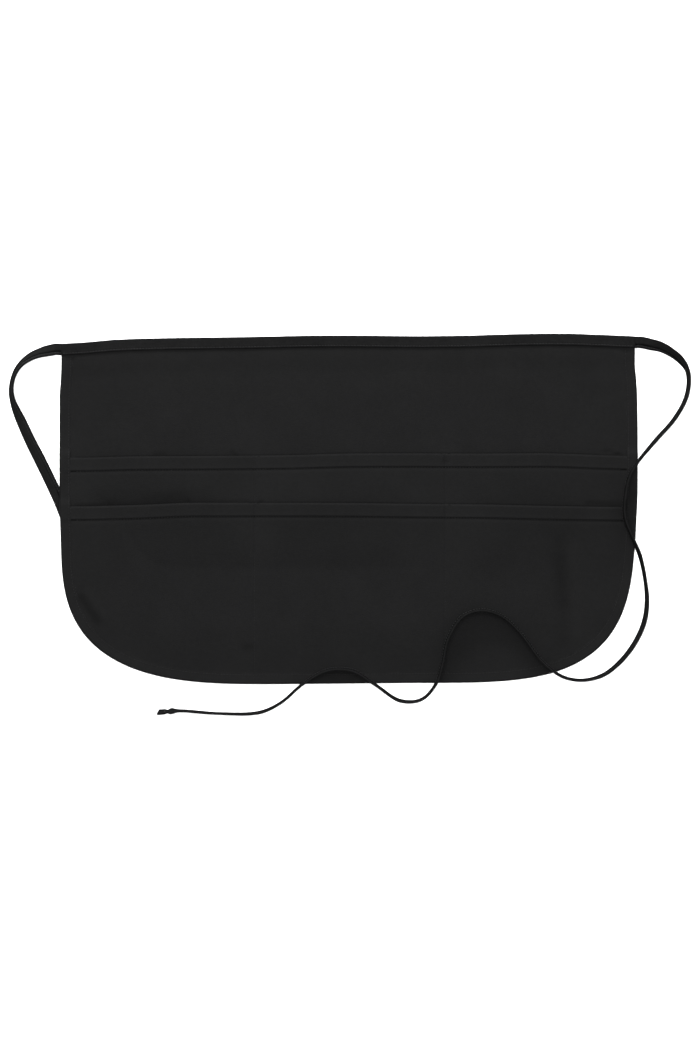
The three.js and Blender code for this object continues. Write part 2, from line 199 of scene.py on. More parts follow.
def from_segment(x: Array, y: Array, start: Array, end: Array) -> Array:
    """Measure the level distance to a straight stretch.

    Args:
        x: Where across the apron.
        y: Where up the apron.
        start: The stretch's one end.
        end: Its other end.

    Returns:
        The distance at each place.
    """
    line = end - start
    t = np.clip(((x - start[0]) * line[0] + (y - start[1]) * line[1]) / (line @ line), 0.0, 1.0)
    return np.hypot(x - start[0] - t * line[0], y - start[1] - t * line[1])


# The shares of the height and of the width at which the edge's and the mouths' tables have rows.
SIDE_PLACES = (0.0, 0.35, 0.41, 0.47, 0.55, 0.7, 0.82, 0.87, 0.92, 1.0)
MOUTH_PLACES = (0.05, 0.14, 0.24, 0.4, 0.5, 0.6, 0.73, 0.83, 0.95, 1.0)


@dataclass(frozen=True)
class Corner:
    """A rounded lower corner, a quarter of a superellipse."""

    reach: float
    rise: float
    power: float


@dataclass(frozen=True)
class Cut:
    """The apron's outline, mouths and seams as cut and sewn, in millimetres."""

    width: float = 610.0
    height: float = 370.0
    hem: float = 11.6
    tape: float = 12.4
    top_drop: float = 10.8
    side_pull: float = 3.1
    foot_rise: float = 1.4
    upper_depth: float = 243.6
    lower_depth: float = 191.4
    mouth_bow: float = 4.5
    mouth_band: float = 15.0
    left_section: float = 205.7
    right_section: float = 203.4
    lip: float = 1.0
    left_corner: Corner = Corner(222.0, 156.0, 3.0)
    right_corner: Corner = Corner(227.0, 205.0, 3.6)
    top_line: SmoothTable = SmoothTable(
        (0.0, 0.035, 0.105, 0.175, 0.31, 0.485, 0.62, 0.69, 0.8, 0.865, 0.93, 1.0),
        (1.0, 0.89, 0.57, 0.45, 0.34, 0.18, 0.25, 0.21, 0.04, 0.0, 0.1, 0.28),
    )
    left_line: SmoothTable = SmoothTable(
        SIDE_PLACES,
        (0.61, 0.61, 0.5, 0.24, 0.06, 0.0, 0.03, 0.39, 0.65, 0.61),
    )
    right_line: SmoothTable = SmoothTable(
        SIDE_PLACES,
        (0.87, 0.87, 0.65, 0.45, 0.06, 0.0, 0.19, 0.52, 1.0, 0.97),
    )
    upper_line: SmoothTable = SmoothTable(
        MOUTH_PLACES,
        (1.0, 0.71, 0.64, 0.42, 0.07, 0.0, 0.07, 0.0, 0.5, 0.67),
    )
    lower_line: SmoothTable = SmoothTable(
        MOUTH_PLACES,
        (0.82, 0.5, 0.0, 0.0, 0.05, 0.22, 0.38, 0.69, 0.95, 1.0),
    )

    @property
    def seam(self) -> float:
        """How far from the middle the pocket cloths come out of the side hems."""
        return self.width / 2 - self.hem - self.side_pull - self.lip

    @property
    def dividers(self) -> tuple[float, float]:
        """Where the two seams stand that divide each tier into three pockets."""
        return self.left_section - self.width / 2, self.width / 2 - self.right_section

    @property
    def seams(self) -> Array:
        """The four lines across that bound the pockets."""
        return np.array([-self.seam, *self.dividers, self.seam])

    def across(self, x: Array) -> Array:
        """Turn a place across the apron into a share of its width."""
        return np.asarray(x, float) / self.width + 0.5

    def top_edge(self, x: Array) -> Array:
        """Give the height up the apron of its top edge."""
        return self.height / 2 - self.top_drop * self.top_line(self.across(x))

    def band_foot(self, x: Array) -> Array:
        """Give the height up the apron of the waistband's lower edge."""
        return self.top_edge(x) - self.tape

    def mouth(self, tier: Tier, x: Array) -> Array:
        """Give the height up the apron of a tier's mouth.

        Args:
            tier: Which tier of pockets.
            x: Where across the apron.

        Returns:
            The mouth's height up the apron at each place.
        """
        if tier is Tier.UPPER:
            depth, line = self.upper_depth, self.upper_line
        else:
            depth, line = self.lower_depth, self.lower_line
        return depth - self.height / 2 - self.mouth_bow * line(self.across(x))

    def side_edge(self, side: Side, y: Array) -> Array:
        """Give the place across the apron of a side edge, above its corner."""
        line = self.left_line if side is Side.LEFT else self.right_line
        pull = self.side_pull * line(np.asarray(y, float) / self.height + 0.5)
        return side.value * (self.width / 2 - pull)

    def half_run(self, side: Side) -> Array:
        """Walk down one side edge and round its corner.

        Args:
            side: Which half of the apron.

        Returns:
            The walk's points, from the top edge to the bottom edge.
        """
        corner, lift = self.left_corner, 0.0
        if side is Side.RIGHT:
            corner, lift = self.right_corner, self.foot_rise
        shoulder = corner.rise - self.height / 2 + lift
        top = float(self.top_edge(side.value * self.width / 2))
        down = np.linspace(top, shoulder, 200, endpoint=False)
        straight = np.stack([self.side_edge(side, down), down], 1)
        turn = np.linspace(0.0, math.pi / 2, 900)
        inwards = corner.reach * (1.0 - np.cos(turn) ** (2 / corner.power))
        inwards[-1] = corner.reach
        y = shoulder - corner.rise * np.sin(turn) ** (2 / corner.power)
        bend = np.stack([self.side_edge(side, y) - side.value * inwards, y], 1)
        return np.concatenate([straight, bend])

    def edge_run(self, step: float) -> Array:
        """Walk the whole cut edge, from the left end of the waistband round to its right end."""
        left = self.half_run(Side.LEFT)
        right = self.half_run(Side.RIGHT)[::-1]
        return resample(np.concatenate([left, right]), step)


@dataclass(frozen=True)
class EdgeRun:
    """The cut edge as a row of points, each with its way in and its place along the edge."""

    points: Array
    inward: Array
    along: Array

    @classmethod
    def of(cls, points: Array) -> "EdgeRun":
        """Make a run from points that go round the apron with the cloth on their left.

        Args:
            points: The points, in millimetres.

        Returns:
            The run.
        """
        ahead = unit(np.gradient(points, axis=0))
        inward = np.stack([-ahead[:, 1], ahead[:, 0]], 1)
        return cls(points, inward, running_length(points))

    def inset(self, distance: float) -> Array:
        """Give the run's points moved in from the edge by a distance."""
        return self.points + self.inward * distance

    def depth_of(self, x: Array, y: Array) -> Array:
        """Measure how far places lie in from the edge.

        Args:
            x: Where across the apron.
            y: Where up the apron.

        Returns:
            The depth of each place.
        """
        batch = 4000
        place = np.stack([x, y], 1)
        depth = np.empty(len(place))
        for start in range(0, len(place), batch):
            part = place[start : start + batch]
            away = part[:, None, :] - self.points[None, :, :]
            near = np.argmin((away**2).sum(2), axis=1)
            rows = np.arange(len(part))
            depth[start : start + batch] = (away[rows, near] * self.inward[near]).sum(1)
        return depth


# The ties' routes: points along the middle of the tape, in metres, and its lean from 0, flat, to 90,
# on its edge.
LEFT_ROUTE: tuple[tuple[float, float, float, float], ...] = (
    (-0.3035, 0.1683, 0.0025, 0),
    (-0.309, 0.1683, 0.0027, 5),
    (-0.316, 0.1669, 0.0042, 10),
    (-0.3255, 0.1644, 0.0058, 35),
    (-0.336, 0.1598, 0.0063, 45),
    (-0.346, 0.1518, 0.0065, 60),
    (-0.3525, 0.141, 0.0066, 65),
    (-0.3555, 0.126, 0.0066, 65),
    (-0.354, 0.1145, 0.0065, 60),
    (-0.3503, 0.1042, 0.0063, 45),
    (-0.3456, 0.0937, 0.0059, 30),
    (-0.336, 0.0726, 0.0053, 20),
    (-0.3254, 0.0515, 0.0044, 10),
    (-0.3154, 0.0306, 0.0021, 8),
    (-0.31, 0.019, 0.0011, 0),
    (-0.3046, 0.007, 0.0011, 0),
    (-0.297, -0.012, 0.0011, 0),
    (-0.287, -0.036, 0.0011, 0),
    (-0.272, -0.06, 0.0011, 0),
    (-0.25, -0.081, 0.0011, 0),
    (-0.221, -0.095, 0.0011, 0),
    (-0.186, -0.101, 0.0011, 0),
    (-0.13, -0.102, 0.0011, 0),
    (-0.07, -0.102, 0.0011, 0),
    (-0.01, -0.102, 0.0011, 0),
    (0.04, -0.101, 0.0011, 0),
    (0.072, -0.096, 0.0011, 0),
    (0.095, -0.081, 0.0011, 0),
    (0.102, -0.06, 0.0011, 0),
    (0.092, -0.038, 0.0011, 0),
    (0.068, -0.026, 0.0011, 0),
    (0.034, -0.024, 0.0011, 0),
    (-0.03, -0.024, 0.0011, 0),
    (-0.1, -0.024, 0.0011, 0),
    (-0.18, -0.024, 0.0011, 0),
)
LEFT_BELOW = 14

RIGHT_ROUTE: tuple[tuple[float, float, float, float], ...] = (
    (0.3025, 0.1756, 0.0025, 0),
    (0.308, 0.1756, 0.0027, 8),
    (0.318, 0.1734, 0.0046, 15),
    (0.329, 0.1706, 0.0056, 35),
    (0.3395, 0.165, 0.0062, 50),
    (0.3495, 0.157, 0.0065, 60),
    (0.3567, 0.1464, 0.0066, 78),
    (0.3583, 0.133, 0.0066, 80),
    (0.3545, 0.1148, 0.0066, 78),
    (0.3423, 0.0937, 0.0066, 78),
    (0.3238, 0.0728, 0.0074, 78),
    (0.3051, 0.0505, 0.0108, 84),
    (0.2956, 0.0357, 0.011, 84),
    (0.2906, 0.015, 0.0118, 84),
    (0.2897, -0.008, 0.0124, 84),
    (0.296, -0.026, 0.0124, 84),
    (0.306, -0.048, 0.0112, 80),
    (0.3122, -0.075, 0.0072, 84),
    (0.3142, -0.096, 0.0066, 78),
    (0.3117, -0.1172, 0.0066, 76),
    (0.303, -0.1383, 0.0066, 76),
    (0.2875, -0.1594, 0.0066, 78),
    (0.268, -0.175, 0.0066, 80),
    (0.246, -0.1804, 0.007, 84),
    (0.224, -0.176, 0.0112, 82),
    (0.2039, -0.1604, 0.0116, 84),
    (0.181, -0.1305, 0.0103, 84),
    (0.161, -0.1125, 0.0109, 84),
    (0.1403, -0.1064, 0.0122, 84),
    (0.1195, -0.113, 0.0126, 84),
    (0.104, -0.137, 0.0121, 84),
    (0.0984, -0.1625, 0.0116, 84),
    (0.0915, -0.1845, 0.0116, 84),
    (0.076, -0.201, 0.007, 84),
    (0.054, -0.202, 0.007, 80),
    (0.028, -0.185, 0.0116, 84),
    (0.004, -0.17, 0.0117, 84),
    (-0.023, -0.1698, 0.0117, 84),
    (-0.0487, -0.1847, 0.0116, 84),
    (-0.072, -0.2045, 0.0068, 84),
    (-0.094, -0.2144, 0.0066, 82),
    (-0.1357, -0.2156, 0.0066, 86),
    (-0.1778, -0.2127, 0.0064, 85),
    (-0.2008, -0.2143, 0.006, 73),
)


@dataclass(frozen=True)
class Crease:
    """A soft fold or dimple in the cloth: a short straight ridge or valley, with painted shade along it,
    painted highlight where its shade is below 0.
    """

    start: tuple[float, float]
    end: tuple[float, float]
    height: float
    spread: float
    shade: float = 0.0

    def share(self, x: Array, y: Array) -> Array:
        """Give how much of the crease is felt at each place, from 0 to 1 along its middle."""
        return bell(from_segment(x, y, np.array(self.start), np.array(self.end)), self.spread)


@dataclass(frozen=True)
class Layers:
    """The heights of the apron's layers above the floor, in millimetres, from the panel's back up."""

    cut: Cut
    cloth: float = 1.0
    gap: float = 0.3
    tape_wall: float = 1.0
    tie_wall: float = 2.0
    tie_rest: float = 0.1
    mouth_fold: float = 0.6
    mouth_gape: float = 7.8
    gape_reach: float = 90.0
    gape_flatness: float = 0.75
    mouth_ramp: float = 10.0
    band_hold: float = 8.0
    band_fade: float = 20.0
    tie_hold: float = 16.0
    tie_fade: float = 56.0
    stitch_inset: float = 1.8
    upper_gapes: tuple[float, float, float] = (0.73, 0.72, 0.75)
    lower_gapes: tuple[float, float, float] = (1.0, 0.92, 0.96)
    waves: tuple[tuple[float, float, float, float], ...] = (
        (0.16, 96.0, 21.0, 0.4),
        (0.13, 128.0, 97.0, 1.9),
        (0.11, 71.0, 58.0, 3.1),
        (0.09, 83.0, 139.0, 5.2),
        (0.05, 46.0, 164.0, 0.9),
        (0.05, 39.0, 8.0, 2.4),
    )
    # A crease's last number is its painted shade, which darkens the colour along it; below 0 it is a
    # painted highlight.
    creases: tuple[Crease, ...] = (
        Crease((222.0, -36.0), (227.0, -139.0), -0.5, 9.0, 0.12),
        Crease((223.0, -52.0), (226.0, -100.0), -0.3, 7.0, 0.12),
        Crease((239.0, -46.0), (241.0, -132.0), 0.5, 8.0, -0.06),
        Crease((-282.0, -94.0), (-265.0, -119.0), -0.6, 4.5, 0.3),
        Crease((-273.0, -90.0), (-258.0, -112.0), 0.4, 5.0, -0.08),
        Crease((-108.0, -147.0), (-104.0, -146.0), -0.5, 4.5, 0.22),
        Crease((101.0, 50.0), (102.0, 51.0), -0.3, 2.5, 0.25),
        Crease((-255.0, 80.0), (-215.0, 88.0), 0.25, 9.0),
        Crease((215.0, 95.0), (283.0, 118.0), 0.3, 10.0),
        Crease((236.0, 100.0), (287.0, 126.0), -0.3, 8.0),
        Crease((-30.0, 118.0), (35.0, 121.0), 0.3, 12.0),
        Crease((-185.0, -60.0), (-150.0, -150.0), 0.25, 12.0),
        Crease((40.0, -50.0), (70.0, -96.0), -0.25, 12.0),
    )

    def relief(self, x: Array, y: Array) -> Array:
        """Give the cloth's own soft waves and creases, which fade towards the waistband.

        Args:
            x: Where across the apron.
            y: Where up the apron.

        Returns:
            The cloth's lift off a flat lay at each place, never below 0.
        """
        lift = np.full(np.shape(x), sum(wave[0] for wave in self.waves) * 0.9)
        for height, length, heading, phase in self.waves:
            turn = math.radians(heading)
            place = x * math.cos(turn) + y * math.sin(turn)
            lift = lift + height * np.sin(2 * math.pi * place / length + phase)
        for crease in self.creases:
            lift = lift + crease.height * crease.share(x, y)
        near_band = smoothstep(self.cut.band_foot(x) - y, 2.0, 40.0)
        return np.maximum(lift, 0.0) * near_band

    def painted_light(self, x: Array, y: Array, marks: Sequence[Crease]) -> Array:
        """Give the cloth's painted light: painted shade along creases and marks, painted highlight where
        their shade is below 0.

        Args:
            x: Where across the apron.
            y: Where up the apron.
            marks: The cloth's own places of painted shade, besides the creases that all layers share.

        Returns:
            The painted light at each place, 1 where nothing is painted.
        """
        painted_light = np.ones(np.shape(x))
        for crease in (*self.creases, *marks):
            painted_light = painted_light * (1.0 - crease.shade * crease.share(x, y))
        return painted_light

    def distance_to_tie(self, x: Array, y: Array) -> Array:
        """Measure the level distance to the part of the left tie that lies below the cloth."""
        run = np.array(LEFT_ROUTE)[LEFT_BELOW:, :2] / MM
        nearest = np.full(np.shape(x), np.inf)
        for start, end in zip(run[:-1], run[1:]):
            nearest = np.minimum(nearest, from_segment(x, y, start, end))
        return nearest

    def panel_under(self, x: Array, y: Array) -> Array:
        """Give the height of the panel's back, which rides over the tape and over the hidden tie.

        Args:
            x: Where across the apron.
            y: Where up the apron.

        Returns:
            The height at each place.
        """
        from_band = self.cut.band_foot(x) - y
        over_band = (self.tape_wall + self.gap) * (
            1.0 - smoothstep(from_band, self.band_hold, self.band_hold + self.band_fade)
        )
        lift = self.tie_rest + self.tie_wall + self.gap
        from_tie = self.distance_to_tie(x, y)
        over_tie = lift * (1.0 - smoothstep(from_tie, self.tie_hold, self.tie_hold + self.tie_fade))
        return np.maximum(over_band, over_tie) + self.relief(x, y)

    def panel_over(self, x: Array, y: Array) -> Array:
        """Give the height of the panel's front."""
        return self.panel_under(x, y) + self.cloth

    def gape(self, tier: Tier, x: Array, y: Array) -> Array:
        """Measure how far a pocket cloth stands off the layer below it.

        Args:
            tier: Which tier of pockets.
            x: Where across the apron.
            y: Where up the apron.

        Returns:
            The distance at each place.
        """
        seams = self.cut.seams
        section = np.clip(np.searchsorted(seams, x, side="right") - 1, 0, 2)
        share = np.clip((x - seams[section]) / (seams[section + 1] - seams[section]), 0.0, 1.0)
        gapes = self.upper_gapes if tier is Tier.UPPER else self.lower_gapes
        fade = 1.0 - smoothstep(self.cut.mouth(tier, x) - y, 0.0, self.gape_reach)
        arch = np.sin(math.pi * share) ** self.gape_flatness
        return self.mouth_gape * np.array(gapes)[section] * arch * fade

    def pocket_wall(self, tier: Tier, x: Array, y: Array) -> Array:
        """Give a pocket cloth's wall, thicker in the folded band along its mouth.

        Args:
            tier: Which tier of pockets.
            x: Where across the apron.
            y: Where up the apron.

        Returns:
            The wall at each place.
        """
        below = self.cut.mouth(tier, x) - y
        share = np.clip((self.cut.mouth_band + 1.0 - below) / 2.0, 0.0, 1.0)
        return self.cloth + self.mouth_fold * share

    def under_hem(self, tier: Tier, x: Array, y: Array) -> Array:
        """Tell where the hem lies over a pocket cloth, from 0 above its mouth to 1 below."""
        climb = (self.cut.mouth(tier, x) + self.mouth_ramp - y) / (self.mouth_ramp - self.cut.lip)
        return smoothstep(climb, 0.0, 1.0)

    def pocket_under(self, tier: Tier, x: Array, y: Array) -> Array:
        """Give the height of a pocket cloth's back."""
        below = self.panel_over(x, y) if tier is Tier.UPPER else self.pocket_over(Tier.UPPER, x, y)
        return below + self.gap + self.gape(tier, x, y)

    def pocket_over(self, tier: Tier, x: Array, y: Array) -> Array:
        """Give the height of a pocket cloth's front."""
        return self.pocket_under(tier, x, y) + self.pocket_wall(tier, x, y)

    def hem_under(self, x: Array, y: Array) -> Array:
        """Give the height of the inside of the hem's fold, clear of the pocket cloths in it.

        Args:
            x: Where across the apron.
            y: Where up the apron.

        Returns:
            The height at each place.
        """
        panel = self.panel_over(x, y)
        upper_over = self.pocket_over(Tier.UPPER, x, y)
        lower_over = self.pocket_over(Tier.LOWER, x, y)
        upper = self.under_hem(Tier.UPPER, x, y) * (upper_over - panel)
        lower = self.under_hem(Tier.LOWER, x, y) * (lower_over - upper_over)
        return panel + upper + lower + self.gap

    def hem_over(self, x: Array, y: Array) -> Array:
        """Give the height of the hem's front."""
        return self.hem_under(x, y) + self.cloth

    def band_inside(self, x: Array, y: Array) -> Array:
        """Give the height of the inside of the waistband's front, which climbs over both hems."""
        hem = self.hem_over(x, y) - self.panel_over(x, y)
        climb = smoothstep(np.abs(x), self.cut.seam - 3.0, self.cut.seam + 3.0)
        return self.panel_over(x, y) + hem * climb + self.gap


# Meshes


@dataclass
class MeshMaker:
    """Collects a piece's points, in millimetres, and faces, and makes its object."""

    points: list[Array] = field(default_factory=list)
    faces: list[tuple[int, ...]] = field(default_factory=list)
    spots: list[Array] = field(default_factory=list)
    painted_lights: list[Array] = field(default_factory=list)
    count: int = 0

    def add_points(self, points: Array, spots: Array | None = None, painted_light: Array | None = None) -> int:
        """Add points.

        Args:
            points: The points, one a row.
            spots: Each point's place on the unrolled tape, along and across, in millimetres.
            painted_light: The painted light at each point, which scales its colour: painted shade below 1,
                painted highlight above 1.

        Returns:
            The first new point's number.
        """
        start = self.count
        self.points.append(np.asarray(points, float))
        self.spots.append(np.zeros((len(points), 2)) if spots is None else np.asarray(spots, float))
        self.painted_lights.append(np.ones(len(points)) if painted_light is None else np.asarray(painted_light, float))
        self.count += len(points)
        return start

    def add_faces(self, faces: Iterable[Sequence[int]]) -> None:
        """Add faces, each a loop of point numbers."""
        self.faces.extend(tuple(int(i) for i in face) for face in faces)

    def add_grid(self, start: int, rows: int, columns: int, closed: bool = False) -> None:
        """Add the faces of a grid of points.

        Args:
            start: The number of the grid's first point.
            rows: How many rows the grid has.
            columns: How many points a row has.
            closed: Whether each row goes round to its first point again.
        """
        across = np.arange(columns if closed else columns - 1)
        ahead = (across + 1) % columns
        for row in range(rows - 1):
            here = start + row * columns
            there = here + columns
            quads = np.stack([here + across, here + ahead, there + ahead, there + across], 1)
            self.faces.extend(map(tuple, quads.tolist()))

    def add_sweep(
        self,
        columns: Sequence[Array],
        spots: Sequence[Array] | None = None,
        painted_lights: Sequence[Array] | None = None,
        closed: bool = False,
    ) -> int:
        """Add a swept section, closed at both ends by a face.

        Args:
            columns: For each of the section's points, its places along the sweep.
            spots: The places on the unrolled tape, in the same order.
            painted_lights: The painted light, painted shade and highlight, in the same order.
            closed: Whether the section goes round to its first point again.

        Returns:
            The first new point's number.
        """
        rows, count = len(columns[0]), len(columns)
        start = self.add_points(
            np.stack(columns, 1).reshape(-1, 3),
            None if spots is None else np.stack(spots, 1).reshape(-1, 2),
            None if painted_lights is None else np.stack(painted_lights, 1).ravel(),
        )
        self.add_grid(start, rows, count, closed)
        self.add_caps(start, rows, count)
        return start

    def add_caps(self, start: int, rows: int, columns: int) -> None:
        """Close the first and the last row of a grid, each with one face."""
        for first in (start, start + (rows - 1) * columns):
            self.faces.append(tuple(range(first, first + columns)))

    def build(self, name: str, finish: "Finish") -> bpy.types.Object:
        """Make the object.

        Args:
            name: The object's name.
            finish: What it is made of.

        Returns:
            The object, in the scene and riding on the part.
        """
        points = np.concatenate(self.points) * MM
        mesh = bpy.data.meshes.new(name)
        mesh.from_pydata(points.tolist(), [], self.faces)
        loops = np.empty(len(mesh.loops), np.int32)
        mesh.loops.foreach_get("vertex_index", loops)
        spots = np.concatenate(self.spots) * MM
        layer = mesh.uv_layers.new(name="tape")
        layer.data.foreach_set("uv", spots[loops].astype(np.float32).ravel())
        # The point attribute that carries the painted light, painted shade and highlight, into the colour.
        painted_light = mesh.attributes.new("painted_light", "FLOAT", "POINT")
        painted_light.data.foreach_set("value", np.concatenate(self.painted_lights).astype(np.float32))
        work = bmesh.new()
        work.from_mesh(mesh)
        bmesh.ops.recalc_face_normals(work, faces=work.faces)
        work.to_mesh(mesh)
        work.free()
        mesh.shade_smooth()
        mesh.materials.append(finish.material())
        made = bpy.data.objects.new(name, mesh)
        bpy.context.scene.collection.objects.link(made)
        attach(made, "root")
        log.info("%s: %d points, %d faces", name, len(points), len(mesh.polygons))
        return made


def fill_loop(loop: Array, inside: Array) -> Array:
    """Fill a closed loop with triangles.

    Args:
        loop: The loop's points, in order.
        inside: Further points, all inside the loop.

    Returns:
        The triangles, as numbers of the loop's points and then of the inside ones.
    """
    places = [Vector((float(x), float(y))) for x, y in np.concatenate([loop, inside])]
    outline = list(range(len(loop)))
    made = delaunay_2d_cdt(places, [], [outline], 1, 1e-4)
    source = [origin[0] for origin in made[3]]
    return np.array([[source[i] for i in face] for face in made[2]])


@dataclass(frozen=True)
class ClothGrid:
    """The points that shape a cloth between its edges: rows that follow a line, closer at seams."""

    spacing: float = 3.0
    seam_offsets: tuple[float, ...] = (-2.4, -1.5, -0.8, -0.3, 0.3, 0.8, 1.5, 2.4)

    def spaced(self, low: float, high: float, marks: Sequence[float], offsets: Sequence[float]) -> Array:
        """Place lines evenly, with closer ones at each mark.

        Args:
            low: The first line.
            high: The last line.
            marks: Where seams stand.
            offsets: The closer lines' distances from a mark.

        Returns:
            The lines' places, in order.
        """
        even = np.arange(low, high + self.spacing / 2, self.spacing)
        reach = max(map(abs, offsets)) + self.spacing * 0.45
        for mark in marks:
            even = even[np.abs(even - mark) > reach]
        close = [mark + offset for mark in marks for offset in offsets]
        places = np.sort(np.concatenate([even, close]))
        return places[(places >= low) & (places <= high)]


# Finishes


@dataclass
class NodeGraph:
    """A material's nodes, added and joined by short calls."""

    material: bpy.types.Material

    def __post_init__(self) -> None:
        """Clear the nodes that a new material starts with."""
        self.material.use_nodes = True
        self.material.node_tree.nodes.clear()

    def add(self, kind: str, inputs: dict[str, Any] | None = None, **settings: Any) -> Any:
        """Add a node.

        Args:
            kind: The node's type.
            inputs: What its sockets are set to or joined to, by name or number.
            settings: The node's own settings.

        Returns:
            The node.
        """
        node = self.material.node_tree.nodes.new(kind)
        for name, value in settings.items():
            setattr(node, name, value)
        for name, value in (inputs or {}).items():
            socket = node.inputs[name]
            if isinstance(value, bpy.types.NodeSocket):
                self.material.node_tree.links.new(value, socket)
            else:
                socket.default_value = value
        return node

    def math(self, operation: str, first: Any, second: Any = 0.0, third: Any = 0.0) -> Any:
        """Add a sum on up to three numbers or sockets, and give its result."""
        inputs = {0: first, 1: second, 2: third}
        return self.add("ShaderNodeMath", inputs, operation=operation).outputs[0]

    def blend(self, share: Any, low: Colour, high: Colour) -> Any:
        """Blend two colours by a share, and give the result."""
        node = self.add("ShaderNodeMix", {0: share, 6: (*low, 1.0), 7: (*high, 1.0)}, data_type="RGBA")
        return node.outputs[2]

    def with_painted_light(self, colour: Any) -> Any:
        """Scale a colour by the piece's painted light, darker for painted shade and lighter for painted
        highlight, and give it.
        """
        painted_light = self.add("ShaderNodeAttribute", attribute_name="painted_light").outputs["Fac"]
        return self.add("ShaderNodeVectorMath", {0: colour, "Scale": painted_light}, operation="SCALE").outputs[0]

    def noise(self, place: Any, scale: float, detail: float, roughness: float = 0.5) -> Any:
        """Add a cloud of noise, and give its value."""
        inputs = {"Vector": place, "Scale": scale, "Detail": detail, "Roughness": roughness}
        return self.add("ShaderNodeTexNoise", inputs).outputs["Fac"]

    def turned(self, place: Any, degrees: float) -> Any:
        """Turn a place about Z, and give it."""
        inputs = {"Vector": place, "Rotation": (0.0, 0.0, math.radians(degrees))}
        return self.add("ShaderNodeMapping", inputs).outputs["Vector"]

    def ribs(self, place: Any, way: str, pitch: float, **more: float) -> Any:
        """Add even ribs.

        Args:
            place: The place on the cloth.
            way: The axis that the ribs follow one another along.
            pitch: The distance between ribs, in metres.
            **more: The wave's further inputs.

        Returns:
            The ribs' height, from 0 to 1.
        """
        inputs = {"Vector": place, "Scale": math.pi / (10.0 * pitch), **more}
        node = self.add("ShaderNodeTexWave", inputs, wave_type="BANDS", bands_direction=way)
        return node.outputs["Fac"]

    def bump(self, strength: float, distance: float, height: Any, **more: Any) -> Any:
        """Add a bump, and give its normal."""
        inputs = {"Strength": strength, "Distance": distance, "Height": height, **more}
        return self.add("ShaderNodeBump", inputs).outputs["Normal"]

    def close(self, inputs: dict[str, Any]) -> None:
        """Join the shader's inputs to it, and the shader to the material."""
        shader = self.add("ShaderNodeBsdfPrincipled", inputs)
        self.add("ShaderNodeOutputMaterial", {"Surface": shader.outputs[0]})


@dataclass(frozen=True)
class Finish:
    """What a piece is made of: its name, and the record's slot that it belongs to."""

    name: str
    slot: str

    def material(self) -> bpy.types.Material:
        """Give the finish's material, made once."""
        found = bpy.data.materials.get(self.name)
        if found is not None:
            return found
        made = bpy.data.materials.new(self.name)
        self.dress(NodeGraph(made))
        return made

    def dress(self, graph: NodeGraph) -> None:
        """Build the material's nodes."""
        raise NotImplementedError


@dataclass(frozen=True)
class TwillFinish(Finish):
    """Matt black twill: fine slanting ribs over crossed yarns, slubs and a faint bloom of wear."""

    dark: Colour = (0.0025, 0.0025, 0.00254)
    light: Colour = (0.0049, 0.0049, 0.00498)
    rib_pitch: float = 0.0009
    rib_slant: float = 62.0
    yarn_pitch: float = 0.00042
    rib_height: float = 0.00007
    slub_height: float = 0.00016
    cloud_share: float = 0.62
    fleck_share: float = 0.35
    weave_share: float = 0.22
    tone_drop: float = 0.16
    roughness: float = 0.86
    rough_range: float = 0.1
    gloss: float = 0.025
    sheen: float = 0.03
    sheen_roughness: float = 0.3

    def dress(self, graph: NodeGraph) -> None:
        """Build the twill's nodes: ribs and yarns in bump and tone, and slow clouds of tone.

        Args:
            graph: The material's nodes.
        """
        place = graph.add("ShaderNodeTexCoord").outputs["Object"]
        rib = self.wave(graph, graph.turned(place, self.rib_slant), "X", self.rib_pitch)
        yarn = self.wave(graph, place, "X", self.yarn_pitch)
        weft = self.wave(graph, place, "Y", self.yarn_pitch * 1.35)
        weave = graph.math("MULTIPLY_ADD", yarn, 0.25, graph.math("MULTIPLY_ADD", weft, 0.2, rib))
        stretch = graph.add("ShaderNodeMapping", {"Vector": place, "Scale": (260.0, 1500.0, 400.0)})
        slub = graph.noise(stretch.outputs["Vector"], 1.0, 2.0)
        cloud = graph.noise(place, 22.0, 4.0, 0.65)
        fleck = graph.noise(place, 240.0, 2.0, 0.6)
        normal = graph.bump(0.55, self.rib_height, weave)
        normal = graph.bump(0.6, self.slub_height, slub, Normal=normal)
        self.cover(graph, cloud, fleck, weave, normal)

    def wave(self, graph: NodeGraph, place: Any, way: str, pitch: float) -> Any:
        """Add ribs that waver a little, as yarn does, and give their height."""
        return graph.ribs(place, way, pitch, Distortion=0.6, Detail=1.0)

    def cover(self, graph: NodeGraph, cloud: Any, fleck: Any, weave: Any, normal: Any) -> None:
        """Mix the cloth's tone and join its shader.

        Args:
            graph: The material's nodes.
            cloud: The slow clouds of tone.
            fleck: The small flecks of tone.
            weave: The height of the ribs and yarns.
            normal: The bumped normal.
        """
        tone = graph.math("MULTIPLY", fleck, self.fleck_share)
        tone = graph.math("MULTIPLY_ADD", cloud, self.cloud_share, tone)
        tone = graph.math("SUBTRACT", tone, self.tone_drop)
        tone = graph.math("MULTIPLY_ADD", weave, self.weave_share, tone)
        low = self.roughness - self.rough_range / 2
        graph.close(
            {
                # The base colour is scaled by the painted light: painted shade and painted highlight.
                "Base Color": graph.with_painted_light(graph.blend(tone, self.dark, self.light)),
                "Roughness": graph.math("MULTIPLY_ADD", cloud, self.rough_range, low),
                "Normal": normal,
                "Specular IOR Level": self.gloss,
                "Sheen Weight": self.sheen,
                "Sheen Roughness": self.sheen_roughness,
                "Sheen Tint": (0.9, 0.92, 1.0, 1.0),
            }
        )


